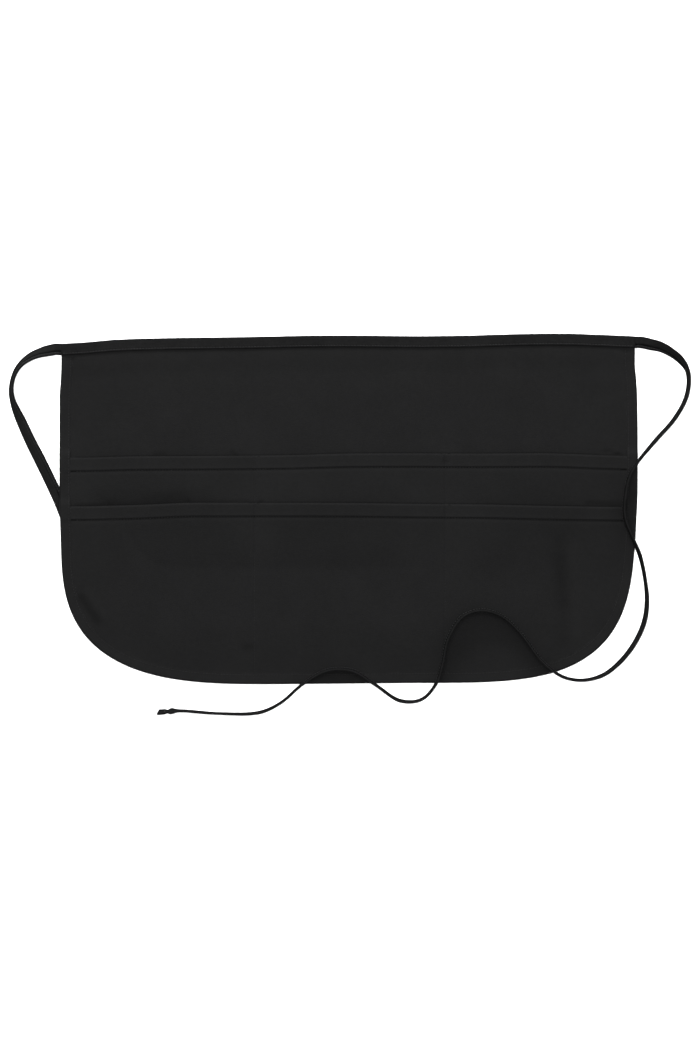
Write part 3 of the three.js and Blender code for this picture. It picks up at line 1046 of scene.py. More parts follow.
@dataclass(frozen=True)
class TapeFinish(TwillFinish):
    """Matt black woven tape: ribs that slant across its length, read off the unrolled tape."""

    def dress(self, graph: NodeGraph) -> None:
        """Build the tape's nodes: ribs and yarns that follow the tape however it turns.

        Args:
            graph: The material's nodes.
        """
        place = graph.add("ShaderNodeUVMap", uv_map="tape").outputs["UV"]
        rib = self.wave(graph, graph.turned(place, self.rib_slant), "X", self.rib_pitch)
        yarn = self.wave(graph, place, "Y", self.yarn_pitch)
        weave = graph.math("MULTIPLY_ADD", yarn, 0.4, rib)
        space = graph.add("ShaderNodeTexCoord").outputs["Object"]
        cloud = graph.noise(space, 26.0, 3.0, 0.6)
        fleck = graph.noise(space, 420.0, 2.0, 0.6)
        self.cover(graph, cloud, fleck, weave, graph.bump(0.6, self.rib_height, weave))


@dataclass(frozen=True)
class ThreadFinish(Finish):
    """Black sewing thread, a little glossier than the cloth, with a fine twist."""

    colour: Colour = (0.0029, 0.0029, 0.003)
    pale: Colour = (0.0056, 0.0056, 0.0058)
    roughness: float = 0.62
    rough_range: float = 0.1
    gloss: float = 0.1
    twist_pitch: float = 0.0005
    twist_slant: float = 40.0
    twist_height: float = 0.00006

    def dress(self, graph: NodeGraph) -> None:
        """Build the thread's nodes: slanting plies and a little variation from stitch to stitch.

        Args:
            graph: The material's nodes.
        """
        place = graph.add("ShaderNodeUVMap", uv_map="tape").outputs["UV"]
        ply = graph.ribs(graph.turned(place, self.twist_slant), "X", self.twist_pitch)
        space = graph.add("ShaderNodeTexCoord").outputs["Object"]
        low = self.roughness - self.rough_range / 2
        graph.close(
            {
                "Base Color": graph.blend(graph.noise(space, 320.0, 1.0), self.colour, self.pale),
                "Roughness": graph.math("MULTIPLY_ADD", ply, self.rough_range, low),
                "Normal": graph.bump(0.5, self.twist_height, ply),
                "Specular IOR Level": self.gloss,
            }
        )


@dataclass(frozen=True)
class FloorFinish(Finish):
    """A plain white studio sweep."""

    dull: Colour = (0.86, 0.86, 0.86)
    bright: Colour = (0.88, 0.88, 0.88)
    roughness: float = 0.9
    gloss: float = 0.1

    def dress(self, graph: NodeGraph) -> None:
        """Build the floor's nodes: white with the faintest cloud.

        Args:
            graph: The material's nodes.
        """
        place = graph.add("ShaderNodeTexCoord").outputs["Object"]
        colour = graph.blend(graph.noise(place, 0.8, 2.0), self.dull, self.bright)
        graph.close({"Base Color": colour, "Roughness": self.roughness, "Specular IOR Level": self.gloss})


TWILL = TwillFinish("black_twill", "twill")
TAPE = TapeFinish(
    "black_tape",
    "tape",
    dark=(0.0027, 0.0027, 0.00274),
    light=(0.0056, 0.0056, 0.00568),
    rib_pitch=0.0008,
    rib_slant=52.0,
    cloud_share=0.7,
    fleck_share=0.9,
    weave_share=0.25,
    tone_drop=0.5,
    rough_range=0.12,
    gloss=0.0,
    sheen=0.0,
)
TWILL_THREAD = ThreadFinish("twill_thread", "twill")
TAPE_THREAD = ThreadFinish(
    "tape_thread", "tape", colour=(0.0066, 0.0066, 0.0068), pale=(0.014, 0.014, 0.0144)
)
FLOOR = FloorFinish("white_sweep", "")


# Pieces


@dataclass
class StitchLine:
    """A row of machine stitches along a path, each a short bowed thread that dives into the cloth."""

    pitch: float = 3.1
    length: float = 2.45
    radius: float = 0.24
    bow: float = 0.1
    dive: float = 0.3
    sides: int = 5
    rings: tuple[float, ...] = (-1.0, -0.55, 0.55, 1.0)
    ends: tuple[float, ...] = (0.45, 1.0, 1.0, 0.45)

    def sew(self, maker: MeshMaker, path: Array, normals: Array) -> None:
        """Sew stitches along a path.

        Args:
            maker: Where the stitches go.
            path: The points that the needle follows on the cloth, in millimetres.
            normals: The cloth's way out at each point.
        """
        along = running_length(path)
        count = int(along[-1] / self.pitch)
        if count < 1:
            return
        at = (np.arange(count) + 0.5) * along[-1] / count
        half = self.length / 2
        middle = read_along(path, along, at)
        ahead = unit(read_along(path, along, at + half) - read_along(path, along, at - half))
        up = read_along(normals, along, at)
        up = unit(up - (up * ahead).sum(1, keepdims=True) * ahead)
        aside = np.cross(up, ahead)
        turns = np.arange(self.sides) * 2 * math.pi / self.sides
        points, spots = [], []
        for share, girth in zip(self.rings, self.ends):
            height = self.bow - self.dive * abs(share) ** 3
            centre = middle + ahead * (share * self.length / 2) + up * height
            for turn in turns:
                round_the_thread = aside * math.cos(turn) + up * math.sin(turn)
                points.append(centre + round_the_thread * (self.radius * girth))
                reach = at + share * self.length / 2
                spots.append(np.stack([reach, np.full(count, turn * self.radius)], 1))
        size = len(self.rings) * self.sides
        start = maker.add_points(
            np.stack(points, 1).reshape(-1, 3), np.stack(spots, 1).reshape(-1, 2)
        )
        for stitch in range(count):
            base = start + stitch * size
            maker.add_grid(base, len(self.rings), self.sides, closed=True)
            maker.add_caps(base, len(self.rings), self.sides)


@dataclass(frozen=True)
class Groove:
    """The dip that a row of stitches pulls into cloth, in millimetres."""

    depth: float
    width: float

    def __call__(self, distance: Array) -> Array:
        """Give the cloth's lift, never above 0, at a distance from the row."""
        return -self.depth * bell(distance, self.width)


@dataclass(frozen=True)
class Pucker:
    """The small ripples that sewing pulls into cloth: height, spacing and reach, in millimetres."""

    height: float
    pitch: float
    reach: float

    def lift(self, along: Array, away: Array, seed: int) -> Array:
        """Give the ripples' lift at places along a seam and away from it."""
        return self.height * gathers(along, self.pitch, seed) * np.exp(-np.abs(away) / self.reach)


@dataclass(frozen=True)
class Ripple:
    """A soft random wave along a tape: height and spacing in millimetres, and which wave it is."""

    height: float
    pitch: float
    seed: int

    def __call__(self, along: Array) -> Array:
        """Give the wave's lift at places along the tape."""
        return self.height * soft_noise(along, self.pitch, self.seed)


@dataclass(frozen=True)
class PaintedLightLine:
    """A line of painted highlight, or of painted shade where its share is below 0."""

    share: float
    at: float
    width: float

    def __call__(self, distance: Array) -> Array:
        """Give the painted light at a distance, 1 where the line isn't felt."""
        return 1.0 + self.share * bell(distance - self.at, self.width)


def straight_up(count: int) -> Array:
    """Give the way up, once for each of a path's points."""
    return np.tile([0.0, 0.0, 1.0], (count, 1))


def at_depths(share: float, layer: str, *depths: float) -> Section:
    """Give a section's points at one share of a layer, at several depths."""
    return [(depth, share, layer) for depth in depths]


def round_fold(radius: float, layer: str, turns: Iterable[float]) -> Section:
    """Give a section's points round a fold.

    Args:
        radius: How deep the fold's round edge is.
        layer: The points' layer.
        turns: Where the points are, in degrees up from the fold's outermost line.

    Returns:
        The points.
    """
    angles = [math.radians(turn) for turn in turns]
    return [(radius * (1 - math.cos(angle)), 0.5 + 0.5 * math.sin(angle), layer) for angle in angles]


@dataclass
class Tie:
    """A folded tape swept along its route, its open edge sewn shut."""

    node: str
    route: tuple[tuple[float, float, float, float], ...]
    open_side: Side
    overlap: float = 0.6
    width: float = 12.4
    wall: float = 1.9
    root_wall: float = 4.8
    root_reach: float = 9.0
    end_hem: float = 0.0
    end_swell: float = 0.8
    end_slant: float = 0.15
    tip_droop: float = 14.0
    tip_lift: float = 12.0
    most_lean: float = 87.0
    bead: float = 0.95
    step: float = 1.4
    stitch_inset: float = 2.6
    end_stitch_inset: float = 1.8
    thread_sink: float = 0.08
    ripples: tuple[Ripple, ...] = (Ripple(0.12, 17.0, 5), Ripple(0.05, 6.0, 6))

    def centre_line(self) -> tuple[Array, Array]:
        """Run the smooth curve through the route's points, each stretch timed by its root length.

        Returns:
            The curve's points, in millimetres, and its lean at each.
        """
        rows = np.array(self.route, float)
        rows[:, :3] /= MM
        rows[0, 0] += self.overlap * (-1.0 if rows[0, 0] > 0 else 1.0)
        ends = np.concatenate([[2 * rows[0] - rows[1]], rows, [2 * rows[-1] - rows[-2]]])
        points, leans = [], []
        for k in range(1, len(ends) - 2):
            p0, p1, p2, p3 = ends[k - 1 : k + 3, :3]
            spans = [float(np.linalg.norm(b - a)) ** 0.5 for a, b in ((p0, p1), (p1, p2), (p2, p3))]
            out = (p1 - p0) / spans[0] - (p2 - p0) / (spans[0] + spans[1]) + (p2 - p1) / spans[1]
            into = (p2 - p1) / spans[1] - (p3 - p1) / (spans[1] + spans[2]) + (p3 - p2) / spans[2]
            out, into = out * spans[1], into * spans[1]
            t = np.linspace(0.0, 1.0, 24, endpoint=False)[:, None]
            cubic = 2 * p1 - 2 * p2 + out + into
            square = -3 * p1 + 3 * p2 - 2 * out - into
            points.append(cubic * t**3 + square * t**2 + out * t + p1)
            leans.append(ends[k, 3] + (ends[k + 1, 3] - ends[k, 3]) * t[:, 0])
        line = np.concatenate([*points, ends[-2:-1, :3]])
        lean = np.concatenate([*leans, ends[-2:-1, 3]])
        return line, lean

    def frames(self) -> tuple[Array, Array, Array, Array]:
        """Set a frame at even steps along the tie.

        Returns:
            The middle, the way ahead, the way across the tape and the way out of its face.
        """
        line, lean = self.centre_line()
        whole = resample(np.column_stack([line, lean]), self.step)
        middle, lean = whole[:, :3], whole[:, 3]
        kernel = np.hanning(13) / np.hanning(13).sum()
        lean = np.convolve(np.pad(lean, 6, mode="edge"), kernel, mode="valid")
        if self.end_hem > 0.0:
            from_end = np.arange(len(lean))[::-1] * self.step - self.end_hem
            droop = self.tip_droop * bell(from_end - 5.5, 4.5)
            lean = lean - droop + self.tip_lift * bell(from_end - 0.6, 1.8)
            lean = np.minimum(lean, self.most_lean)
        ahead = unit(np.gradient(middle, axis=0))
        side = unit(np.cross([0.0, 0.0, 1.0], ahead))
        turn = np.radians(lean)[:, None]
        breadth = side * np.cos(turn) + np.cross(ahead, side) * np.sin(turn)
        return middle, ahead, breadth, np.cross(ahead, breadth)

    def section(self) -> Array:
        """Draw the folded tape's section, from its fold round to the slit between its two edges.

        Returns:
            Each point's place across the tape, from its middle and with the fold on the minus side,
            and through the tape, from -1 at one face to 1 at the other.
        """
        half = self.width / 2
        sewn = half - self.stitch_inset
        top = [(-half + self.bead, 1.0), (-half * 0.5, 1.0), (0.0, 0.98), (half * 0.45, 0.98)]
        top += [(sewn - 1.2, 0.97), (sewn - 0.5, 0.93), (sewn, 0.89), (sewn + 0.5, 0.94)]
        lip = [(half - 0.45, 0.95), (half - 0.12, 0.78), (half, 0.5), (half - 0.12, 0.2)]
        upper = top + lip + [(half - 1.3, 0.06)]
        lower = [(a, -b) for a, b in upper[::-1]]
        angles = [math.radians(turn) for turn in np.linspace(-90.0, -270.0, 9)[1:-1]]
        fold = [(-half + self.bead + self.bead * math.cos(turn), math.sin(turn)) for turn in angles]
        return np.array(upper + lower + fold)

    def thickness(self, along: Array) -> Array:
        """Give the wall along the tie, which swells where it leaves the waistband."""
        swell = (self.root_wall - self.wall) * (1.0 - smoothstep(along, 0.0, self.root_reach))
        if self.end_hem > 0.0:
            hem_start = along[-1] - self.end_hem
            swell = swell + self.end_swell * smoothstep(along, hem_start - 0.5, hem_start + 0.9)
        return self.wall + swell

    def build(self) -> bpy.types.Object:
        """Returns:
            The tie's object.
        """
        middle, ahead, breadth, depth = self.frames()
        along = running_length(middle)
        wall = self.thickness(along)
        section = self.section()
        order = section if self.open_side is Side.LEFT else section * np.array([-1.0, 1.0])
        maker = MeshMaker()
        ripple = sum(wave(along) for wave in self.ripples)
        points, spots = [], []
        for (a, b), (across, _) in zip(order, section):
            offset = b * wall / 2
            if across > -self.width / 4:
                offset = offset + b / abs(b) * (1.0 - abs(b)) * (wall - self.wall) / 2
            offset = offset + ripple * (a / self.width + 0.5)
            slant = self.end_slant * a * smoothstep(along, along[-1] - self.end_hem * 0.6, along[-1] + 0.01)
            slant = slant * (self.end_hem > 0.0)
            points.append(middle + breadth * a + depth * offset[:, None] + ahead * slant[:, None])
            spots.append(np.stack([along, np.full(len(along), a + b * 20.0)], 1))
        maker.add_sweep(points, spots, closed=True)
        tie = maker.build(f"{self.node}_tape", TAPE)
        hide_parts(self.node)
        stitches = self.sew(middle, breadth, depth, wall)
        log.info("%s: %.3f m long", tie.name, along[-1] * MM)
        return tie

    def sew(self, middle: Array, breadth: Array, depth: Array, wall: Array) -> bpy.types.Object:
        """Sew the tie's open edge, through both of its faces.

        Args:
            middle: The tie's middle line.
            breadth: The way across the tape.
            depth: The way out of its face.
            wall: The tape's thickness.

        Returns:
            The stitches' object.
        """
        maker = MeshMaker()
        line = StitchLine(pitch=2.9, length=2.3)
        across = -self.open_side.value * (self.width / 2 - self.stitch_inset)
        for face in (1.0, -1.0):
            path = middle + breadth * across + depth * (face * (wall / 2 - self.thread_sink))[:, None]
            line.sew(maker, path[2:-3], depth[2:-3] * face)
            if self.end_hem > 0.0:
                row = len(middle) - 1 - round((self.end_hem - self.end_stitch_inset) / self.step)
                reach = np.linspace(-0.4, 0.4, 12)[:, None] * self.width
                seam = middle[row] + breadth[row] * reach + depth[row] * (face * wall[row] * 0.46)
                line.sew(maker, seam, np.tile(depth[row] * face, (12, 1)))
        return maker.build(f"{self.node}_stitches", TAPE_THREAD)


@dataclass
class Panel:
    """The body cloth, its side and bottom edges turned to the front as the hem."""

    cut: Cut
    layers: Layers
    run: EdgeRun
    fold_radius: float = 1.3
    inner_depth: float = 14.0
    press_inside: float = 0.25
    press_outside: float = 0.85
    thread_sink: float = 0.9
    mouth_rows: tuple[float, ...] = (-0.3, -0.9, -1.6, -2.4)
    seam_pucker: Pucker = Pucker(0.22, 9.0, 6.0)
    pucker_seed: int = 31
    groove: Groove = Groove(0.05, 0.6)
    # Painted highlight along the hem's fold; painted shade at the cut edge, under the waistband's foot and
    # just above a pocket mouth.
    fold_painted_highlight: PaintedLightLine = PaintedLightLine(0.12, 1.8, 0.9)
    edge_painted_shade: PaintedLightLine = PaintedLightLine(-0.6, 0.0, 1.1)
    band_painted_shadow: PaintedLightLine = PaintedLightLine(-0.35, 0.0, 1.2)
    mouth_painted_shade: PaintedLightLine = PaintedLightLine(-0.3, 0.5, 0.8)
    grid: ClothGrid = ClothGrid()
    name: str = "apron_panel_cloth"
    # Painted shade just above the upper tier's mouth.
    marks: tuple[Crease, ...] = (
        Crease((-205.0, 58.0), (-193.0, 58.5), 0.0, 2.6, 0.22),
        Crease((-124.0, 60.0), (-119.0, 58.0), 0.0, 2.4, 0.25),
        Crease((270.0, 62.0), (275.0, 61.8), 0.0, 2.2, 0.25),
        Crease((280.5, 58.7), (286.5, 58.4), 0.0, 1.7, 0.45),
    )

    def pucker(self, along: Array, distance: Array) -> Array:
        """Give the small ripples that sewing pulls into the cloth beside the hem's stitches."""
        return self.seam_pucker.lift(along, distance, self.pucker_seed)

    def section(self) -> Section:
        """Draw the hem's section, from the panel's front inwards of it round to the panel's back.

        Returns:
            Each point's depth in from the edge, its share between the two faces of its layer
            from 0, the lower, to 1, the upper, and that layer's name.
        """
        hem = self.cut.hem
        sewn = hem - self.layers.stitch_inset
        front = at_depths(1.0, "panel", self.inner_depth, 12.6, hem - 1.4, 6.0, 2.2)
        inner = [(1.35, 0.25, "fold"), (1.2, 0.5, "fold"), (1.35, 0.75, "fold")]
        under = at_depths(0.0, "hem", 2.2, 6.0, hem - 1.4, hem - 0.6)
        edge = [(hem - 0.15, 0.18, "hem"), (hem, 0.5, "hem"), (hem - 0.15, 0.82, "hem")]
        over = at_depths(1.0, "hem", hem - 0.5, sewn + 0.7, sewn + 0.3, sewn, sewn - 0.3)
        over += at_depths(1.0, "hem", sewn - 0.8, sewn - 1.8, 6.0, 4.0, 2.4)
        outer = round_fold(self.fold_radius, "edge", range(80, -81, -20))
        back = at_depths(0.0, "panel", 2.4, 4.0, 6.0, sewn - 0.8, sewn, sewn + 0.8, 12.6)
        back += at_depths(0.0, "panel", self.inner_depth)
        return front + inner + under + edge + over + outer + back

    def strip(self, maker: MeshMaker) -> tuple[Array, Array]:
        """Lay the hem and its fold round the whole edge.

        Args:
            maker: Where the points and faces go.

        Returns:
            The numbers of the points where the strip meets the panel's front and its back.
        """
        layers, run = self.layers, self.run
        section = self.section()
        sewn = self.cut.hem - layers.stitch_inset
        columns, painted_lights = [], []
        for depth, share, layer in section:
            place = run.inset(depth)
            x, y = place[:, 0], place[:, 1]
            panel_under, panel_over = layers.panel_under(x, y), layers.panel_over(x, y)
            hem_under, hem_over = layers.hem_under(x, y), layers.hem_over(x, y)
            low, high = {
                "panel": (panel_under, panel_over),
                "hem": (hem_under, hem_over),
                "fold": (panel_over, hem_under),
                "edge": (panel_under, hem_over),
            }[layer]
            z = low + (high - low) * share
            # Painted light: painted shade along creases and marks, painted highlight along the hem's fold
            # and painted shade at the cut edge.
            painted_light = layers.painted_light(x, y, self.marks)
            if layer == "hem":
                pressed = self.press_inside + self.press_outside * share
                z = z - pressed * smoothstep(depth, 2.0, self.cut.hem)
            if layer in ("hem", "edge") and share > 0.5:
                z = z + self.pucker(run.along, depth - sewn) + self.groove(depth - sewn)
                painted_light = painted_light * self.fold_painted_highlight(depth)
            if layer == "edge":
                painted_light = painted_light * self.edge_painted_shade(depth)
            columns.append(np.stack([x, y, z], 1))
            painted_lights.append(painted_light)
        first = maker.add_sweep(columns, painted_lights=painted_lights) + np.arange(len(run.points)) * len(section)
        return first, first + len(section) - 1

    def build(self) -> bpy.types.Object:
        """Returns:
            The panel's object.
        """
        layers, run, cut = self.layers, self.run, self.cut
        maker = MeshMaker()
        front, back = self.strip(maker)
        ring = run.inset(self.inner_depth)
        gap = self.grid.spacing
        over_top = np.arange(ring[-1, 0] - gap, ring[0, 0] + gap / 2, -gap)
        tuck = layers.tape_wall + layers.gap
        top = np.stack([over_top, cut.top_edge(over_top) - tuck], 1)
        loop = np.concatenate([ring, top])
        xs = np.arange(-300.0, 300.0, gap)
        from_top = float(cut.top_edge(0.0) - cut.mouth(Tier.UPPER, 0.0)) - tuck
        rows = self.grid.spaced(gap / 2, cut.height, [from_top], self.mouth_rows)
        x, v = np.meshgrid(xs, rows)
        bend = cut.top_edge(x) - cut.mouth(Tier.UPPER, x) - tuck - from_top
        y = cut.top_edge(x) - tuck - v - bend * np.clip(v / from_top, 0.0, 1.0)
        x, y = x.ravel(), y.ravel()
        depth = run.depth_of(x, y)
        keep = depth > self.inner_depth + 1.4
        x, y = x[keep], y[keep]
        inside = np.stack([x, y], 1)
        triangles = fill_loop(loop, inside)
        all_x = np.concatenate([top[:, 0], x])
        all_y = np.concatenate([top[:, 1], y])
        # Painted shade along creases and marks, under the waistband's foot and just above the upper tier's
        # mouth.
        painted_light = layers.painted_light(all_x, all_y, self.marks)
        painted_light = painted_light * self.band_painted_shadow(cut.band_foot(all_x) - all_y)
        painted_light = painted_light * self.mouth_painted_shade(all_y - cut.mouth(Tier.UPPER, all_x))
        high = maker.add_points(np.stack([all_x, all_y, layers.panel_over(all_x, all_y)], 1), painted_light=painted_light)
        low = maker.add_points(np.stack([all_x, all_y, layers.panel_under(all_x, all_y)], 1))
        fresh = np.arange(len(all_x))
        upper = np.concatenate([front, high + fresh])
        lower = np.concatenate([back, low + fresh])
        maker.add_faces(upper[triangles])
        maker.add_faces(lower[triangles][:, ::-1])
        rim = np.concatenate([[len(ring) - 1], len(ring) + np.arange(len(top)), [0]])
        maker.add_faces(np.stack([upper[rim[:-1]], upper[rim[1:]], lower[rim[1:]], lower[rim[:-1]]], 1))
        panel = maker.build(self.name, TWILL)
        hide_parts("apron_panel")
        return panel

    def sew(self) -> bpy.types.Object:
        """Sew the hem down, all round the edge.

        Returns:
            The stitches' object.
        """
        sewn = self.cut.hem - self.layers.stitch_inset
        place = self.run.inset(sewn)
        x, y = place[:, 0], place[:, 1]
        z = self.layers.hem_over(x, y) - self.thread_sink + self.pucker(self.run.along, np.zeros(len(x)))
        below_band = y < self.cut.band_foot(x) - 0.5
        path = np.stack([x, y, z], 1)[below_band]
        maker = MeshMaker()
        StitchLine().sew(maker, path, straight_up(len(path)))
        return maker.build("hem_stitches", TWILL_THREAD)


@dataclass
class PocketTier:
    """One tier's pocket cloth, from the folded band along its mouth down into the hem."""

    cut: Cut
    layers: Layers
    run: EdgeRun
    tier: Tier
    grid: ClothGrid = ClothGrid()
    lip_rows: tuple[float, ...] = (0.06, 0.22, 0.45, 0.8, 1.4, 2.4, 4.0)
    tuck: float = 1.7
    row_pucker: Pucker = Pucker(0.2, 10.0, 7.0)
    row_groove: Groove = Groove(0.55, 0.8)
    divider_groove: Groove = Groove(0.2, 1.0)
    divider_thread: StitchLine = field(default_factory=lambda: StitchLine(radius=0.17, bow=0.02))
    # Painted highlight at the mouth's fold; painted shade along the band's stitches, above the lower tier's
    # mouth and along the dividers; marks are further painted shade.
    mouth_painted_highlight: PaintedLightLine = PaintedLightLine(0.3, 1.0, 0.7)
    row_painted_shade: PaintedLightLine = PaintedLightLine(-0.75, 0.0, 0.75)
    mouth_painted_shade: PaintedLightLine = PaintedLightLine(-0.3, 0.5, 0.8)
    divider_painted_shade: PaintedLightLine = PaintedLightLine(-0.04, 0.0, 0.9)
    marks: tuple[Crease, ...] = ()

    @property
    def name(self) -> str:
        """The cloth's name."""
        return f"pocket_{self.tier.value}_cloth"

    @property
    def sewn(self) -> float:
        """How far below the mouth the band's stitches run."""
        return self.cut.mouth_band - 0.4

    def lip(self, below: Array, wall: Array) -> Array:
        """Round the mouth's fold: the share of the wall's half that is there at a depth below it."""
        radius = wall / 2
        share = np.clip(below / radius, 0.0, 1.0)
        return np.sqrt(np.maximum(1.0 - (1.0 - share) ** 2, 0.0))

    def surface(self, x: Array, y: Array, upper: bool) -> Array:
        """Give the height of one face of the pocket cloth, with its seams pulled in.

        Args:
            x: Where across the apron.
            y: Where up the apron.
            upper: Whether it is the front.

        Returns:
            The height at each place.
        """
        below = self.cut.mouth(self.tier, x) - y
        wall = self.layers.pocket_wall(self.tier, x, y)
        under = self.layers.pocket_under(self.tier, x, y)
        height = under + wall / 2 + (1.0 if upper else -1.0) * self.lip(below, wall) * wall / 2
        if not upper:
            return height
        seed = 40 if self.tier is Tier.UPPER else 50
        from_row = below - self.sewn
        height = height + self.row_pucker.lift(x, from_row, seed) * smoothstep(below, 0.0, 6.0)
        height = height + self.row_groove(from_row)
        for number, line in enumerate(self.cut.dividers):
            from_line = x - line
            ripple = soft_noise(y, 11.0, seed + 5 + number)
            height = height + self.divider_groove(from_line) * smoothstep(below, -1.0, 1.0)
            height = height + 0.16 * ripple * np.exp(-np.abs(from_line) / 6.0) * smoothstep(below, 0.0, 8.0)
        return height

    def painted_light(self, x: Array, y: Array) -> Array:
        """Give the front's painted light: painted highlight at the mouth's fold and beside its stitches,
        painted shade along its stitches.
        """
        below = self.cut.mouth(self.tier, x) - y
        painted_light = self.layers.painted_light(x, y, self.marks)
        from_row = below - self.sewn
        painted_light = painted_light * self.mouth_painted_highlight(below) * self.row_painted_shade(from_row)
        # Painted highlights beside the band's stitch row.
        painted_light = painted_light * (1.0 + 0.1 * bell(from_row + 2.2, 0.8) + 0.15 * bell(from_row - 2.0, 0.8))
        if self.tier is Tier.UPPER:
            painted_light = painted_light * self.mouth_painted_shade(y - self.cut.mouth(Tier.LOWER, x))
        for line in self.cut.dividers:
            painted_light = painted_light * self.divider_painted_shade(x - line)
        return painted_light

    def sew(self) -> bpy.types.Object:
        """Sew the band along the mouth, and the seams that divide the tier into pockets.

        Returns:
            The stitches' object.
        """
        cut = self.cut
        maker = MeshMaker()
        x = np.arange(-cut.seam + 2.0, cut.seam - 2.0, 1.0)
        y = cut.mouth(self.tier, x) - self.sewn
        path = np.stack([x, y, self.surface(x, y, True)], 1)
        StitchLine().sew(maker, path, straight_up(len(path)))
        for line in cut.dividers:
            top = float(cut.mouth(self.tier, line)) - 1.5
            foot = float(cut.mouth(Tier.LOWER, line)) + 2.0
            if self.tier is Tier.LOWER:
                foot = float(self.run.points[:, 1].min()) + cut.hem + 1.0
            y = np.arange(top, foot, -1.0)
            x = np.full(len(y), line)
            path = np.stack([x, y, self.surface(x, y, True) - 0.05], 1)
            self.divider_thread.sew(maker, path, straight_up(len(path)))
        return maker.build(f"pocket_{self.tier.value}_stitches", TWILL_THREAD)

    def build(self) -> bpy.types.Object:
        """Make the pocket cloth.

        Returns:
            The pocket cloth's object.
        """
        cut, run = self.cut, self.run
        ring = run.inset(self.tuck)
        ring = ring[ring[:, 1] < cut.mouth(self.tier, ring[:, 0]) - 0.8]
        xs = self.grid.spaced(-303.0, 303.0, list(cut.dividers), self.grid.seam_offsets)
        inner = (xs > ring[0, 0] + 1.0) & (xs < ring[-1, 0] - 1.0)
        lip_x = resample(np.array([[ring[-1, 0] - 0.3], [ring[0, 0] + 0.3]]), 2.0)[:, 0]
        lip_y = cut.mouth(self.tier, lip_x)
        loop = np.concatenate([ring, np.stack([lip_x, lip_y], 1)])
        next_mouth = float(cut.mouth(Tier.UPPER, 0.0) - cut.mouth(Tier.LOWER, 0.0))
        marks = [self.sewn] + ([next_mouth] if self.tier is Tier.UPPER else [])
        rows = self.grid.spaced(5.0, 250.0, marks, self.grid.seam_offsets)
        rows = np.concatenate([self.lip_rows, rows[rows > 5.0]])
        x, v = np.meshgrid(xs[inner], rows)
        x, v = x.ravel(), v.ravel()
        bend = cut.mouth(Tier.UPPER, x) - cut.mouth(Tier.LOWER, x) - next_mouth
        y = cut.mouth(self.tier, x) - v
        if self.tier is Tier.UPPER:
            y = y - bend * smoothstep(v, self.sewn + 3.0, next_mouth - 3.0)
        depth = run.depth_of(x, y)
        keep = depth > self.tuck + 1.0
        inside = np.stack([x[keep], y[keep]], 1)
        triangles = fill_loop(loop, inside)
        places = np.concatenate([loop, inside])
        px, py = places[:, 0], places[:, 1]
        count = len(loop)
        maker = MeshMaker()
        high = maker.add_points(np.stack([px, py, self.surface(px, py, True)], 1), painted_light=self.painted_light(px, py))
        low = maker.add_points(np.stack([px, py, self.surface(px, py, False)], 1))
        maker.add_faces(high + triangles)
        maker.add_faces((low + triangles)[:, ::-1])
        here = np.arange(count)
        there = (here + 1) % count
        maker.add_faces(np.stack([high + here, low + here, low + there, high + there], 1))
        cloth = maker.build(self.name, TWILL)
        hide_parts(f"pocket_{self.tier.value}")
        self.sew()
        return cloth


# Painted shade on the upper pocket cloth just above the lower tier's mouth.
UPPER_PAINTED_SHADE = (
    Crease((-286.0, 4.0), (-252.0, 5.5), 0.0, 2.4, 0.28),
    Crease((-252.0, 5.5), (-168.0, 9.0), 0.0, 2.6, 0.25),
    Crease((-168.0, 9.0), (-102.0, 8.5), 0.0, 2.2, 0.16),
    Crease((-258.0, 9.0), (-246.0, 10.0), 0.0, 4.0, 0.14),
    Crease((-214.0, 12.0), (-172.0, 14.0), 0.0, 5.5, 0.15),
    Crease((-262.0, 14.0), (-150.0, 15.0), 0.0, 9.0, 0.12),
    Crease((-94.5, 8.2), (-91.5, 8.2), 0.0, 2.0, 0.35),
    Crease((252.0, 7.0), (288.0, 4.5), 0.0, 3.2, 0.32),
)


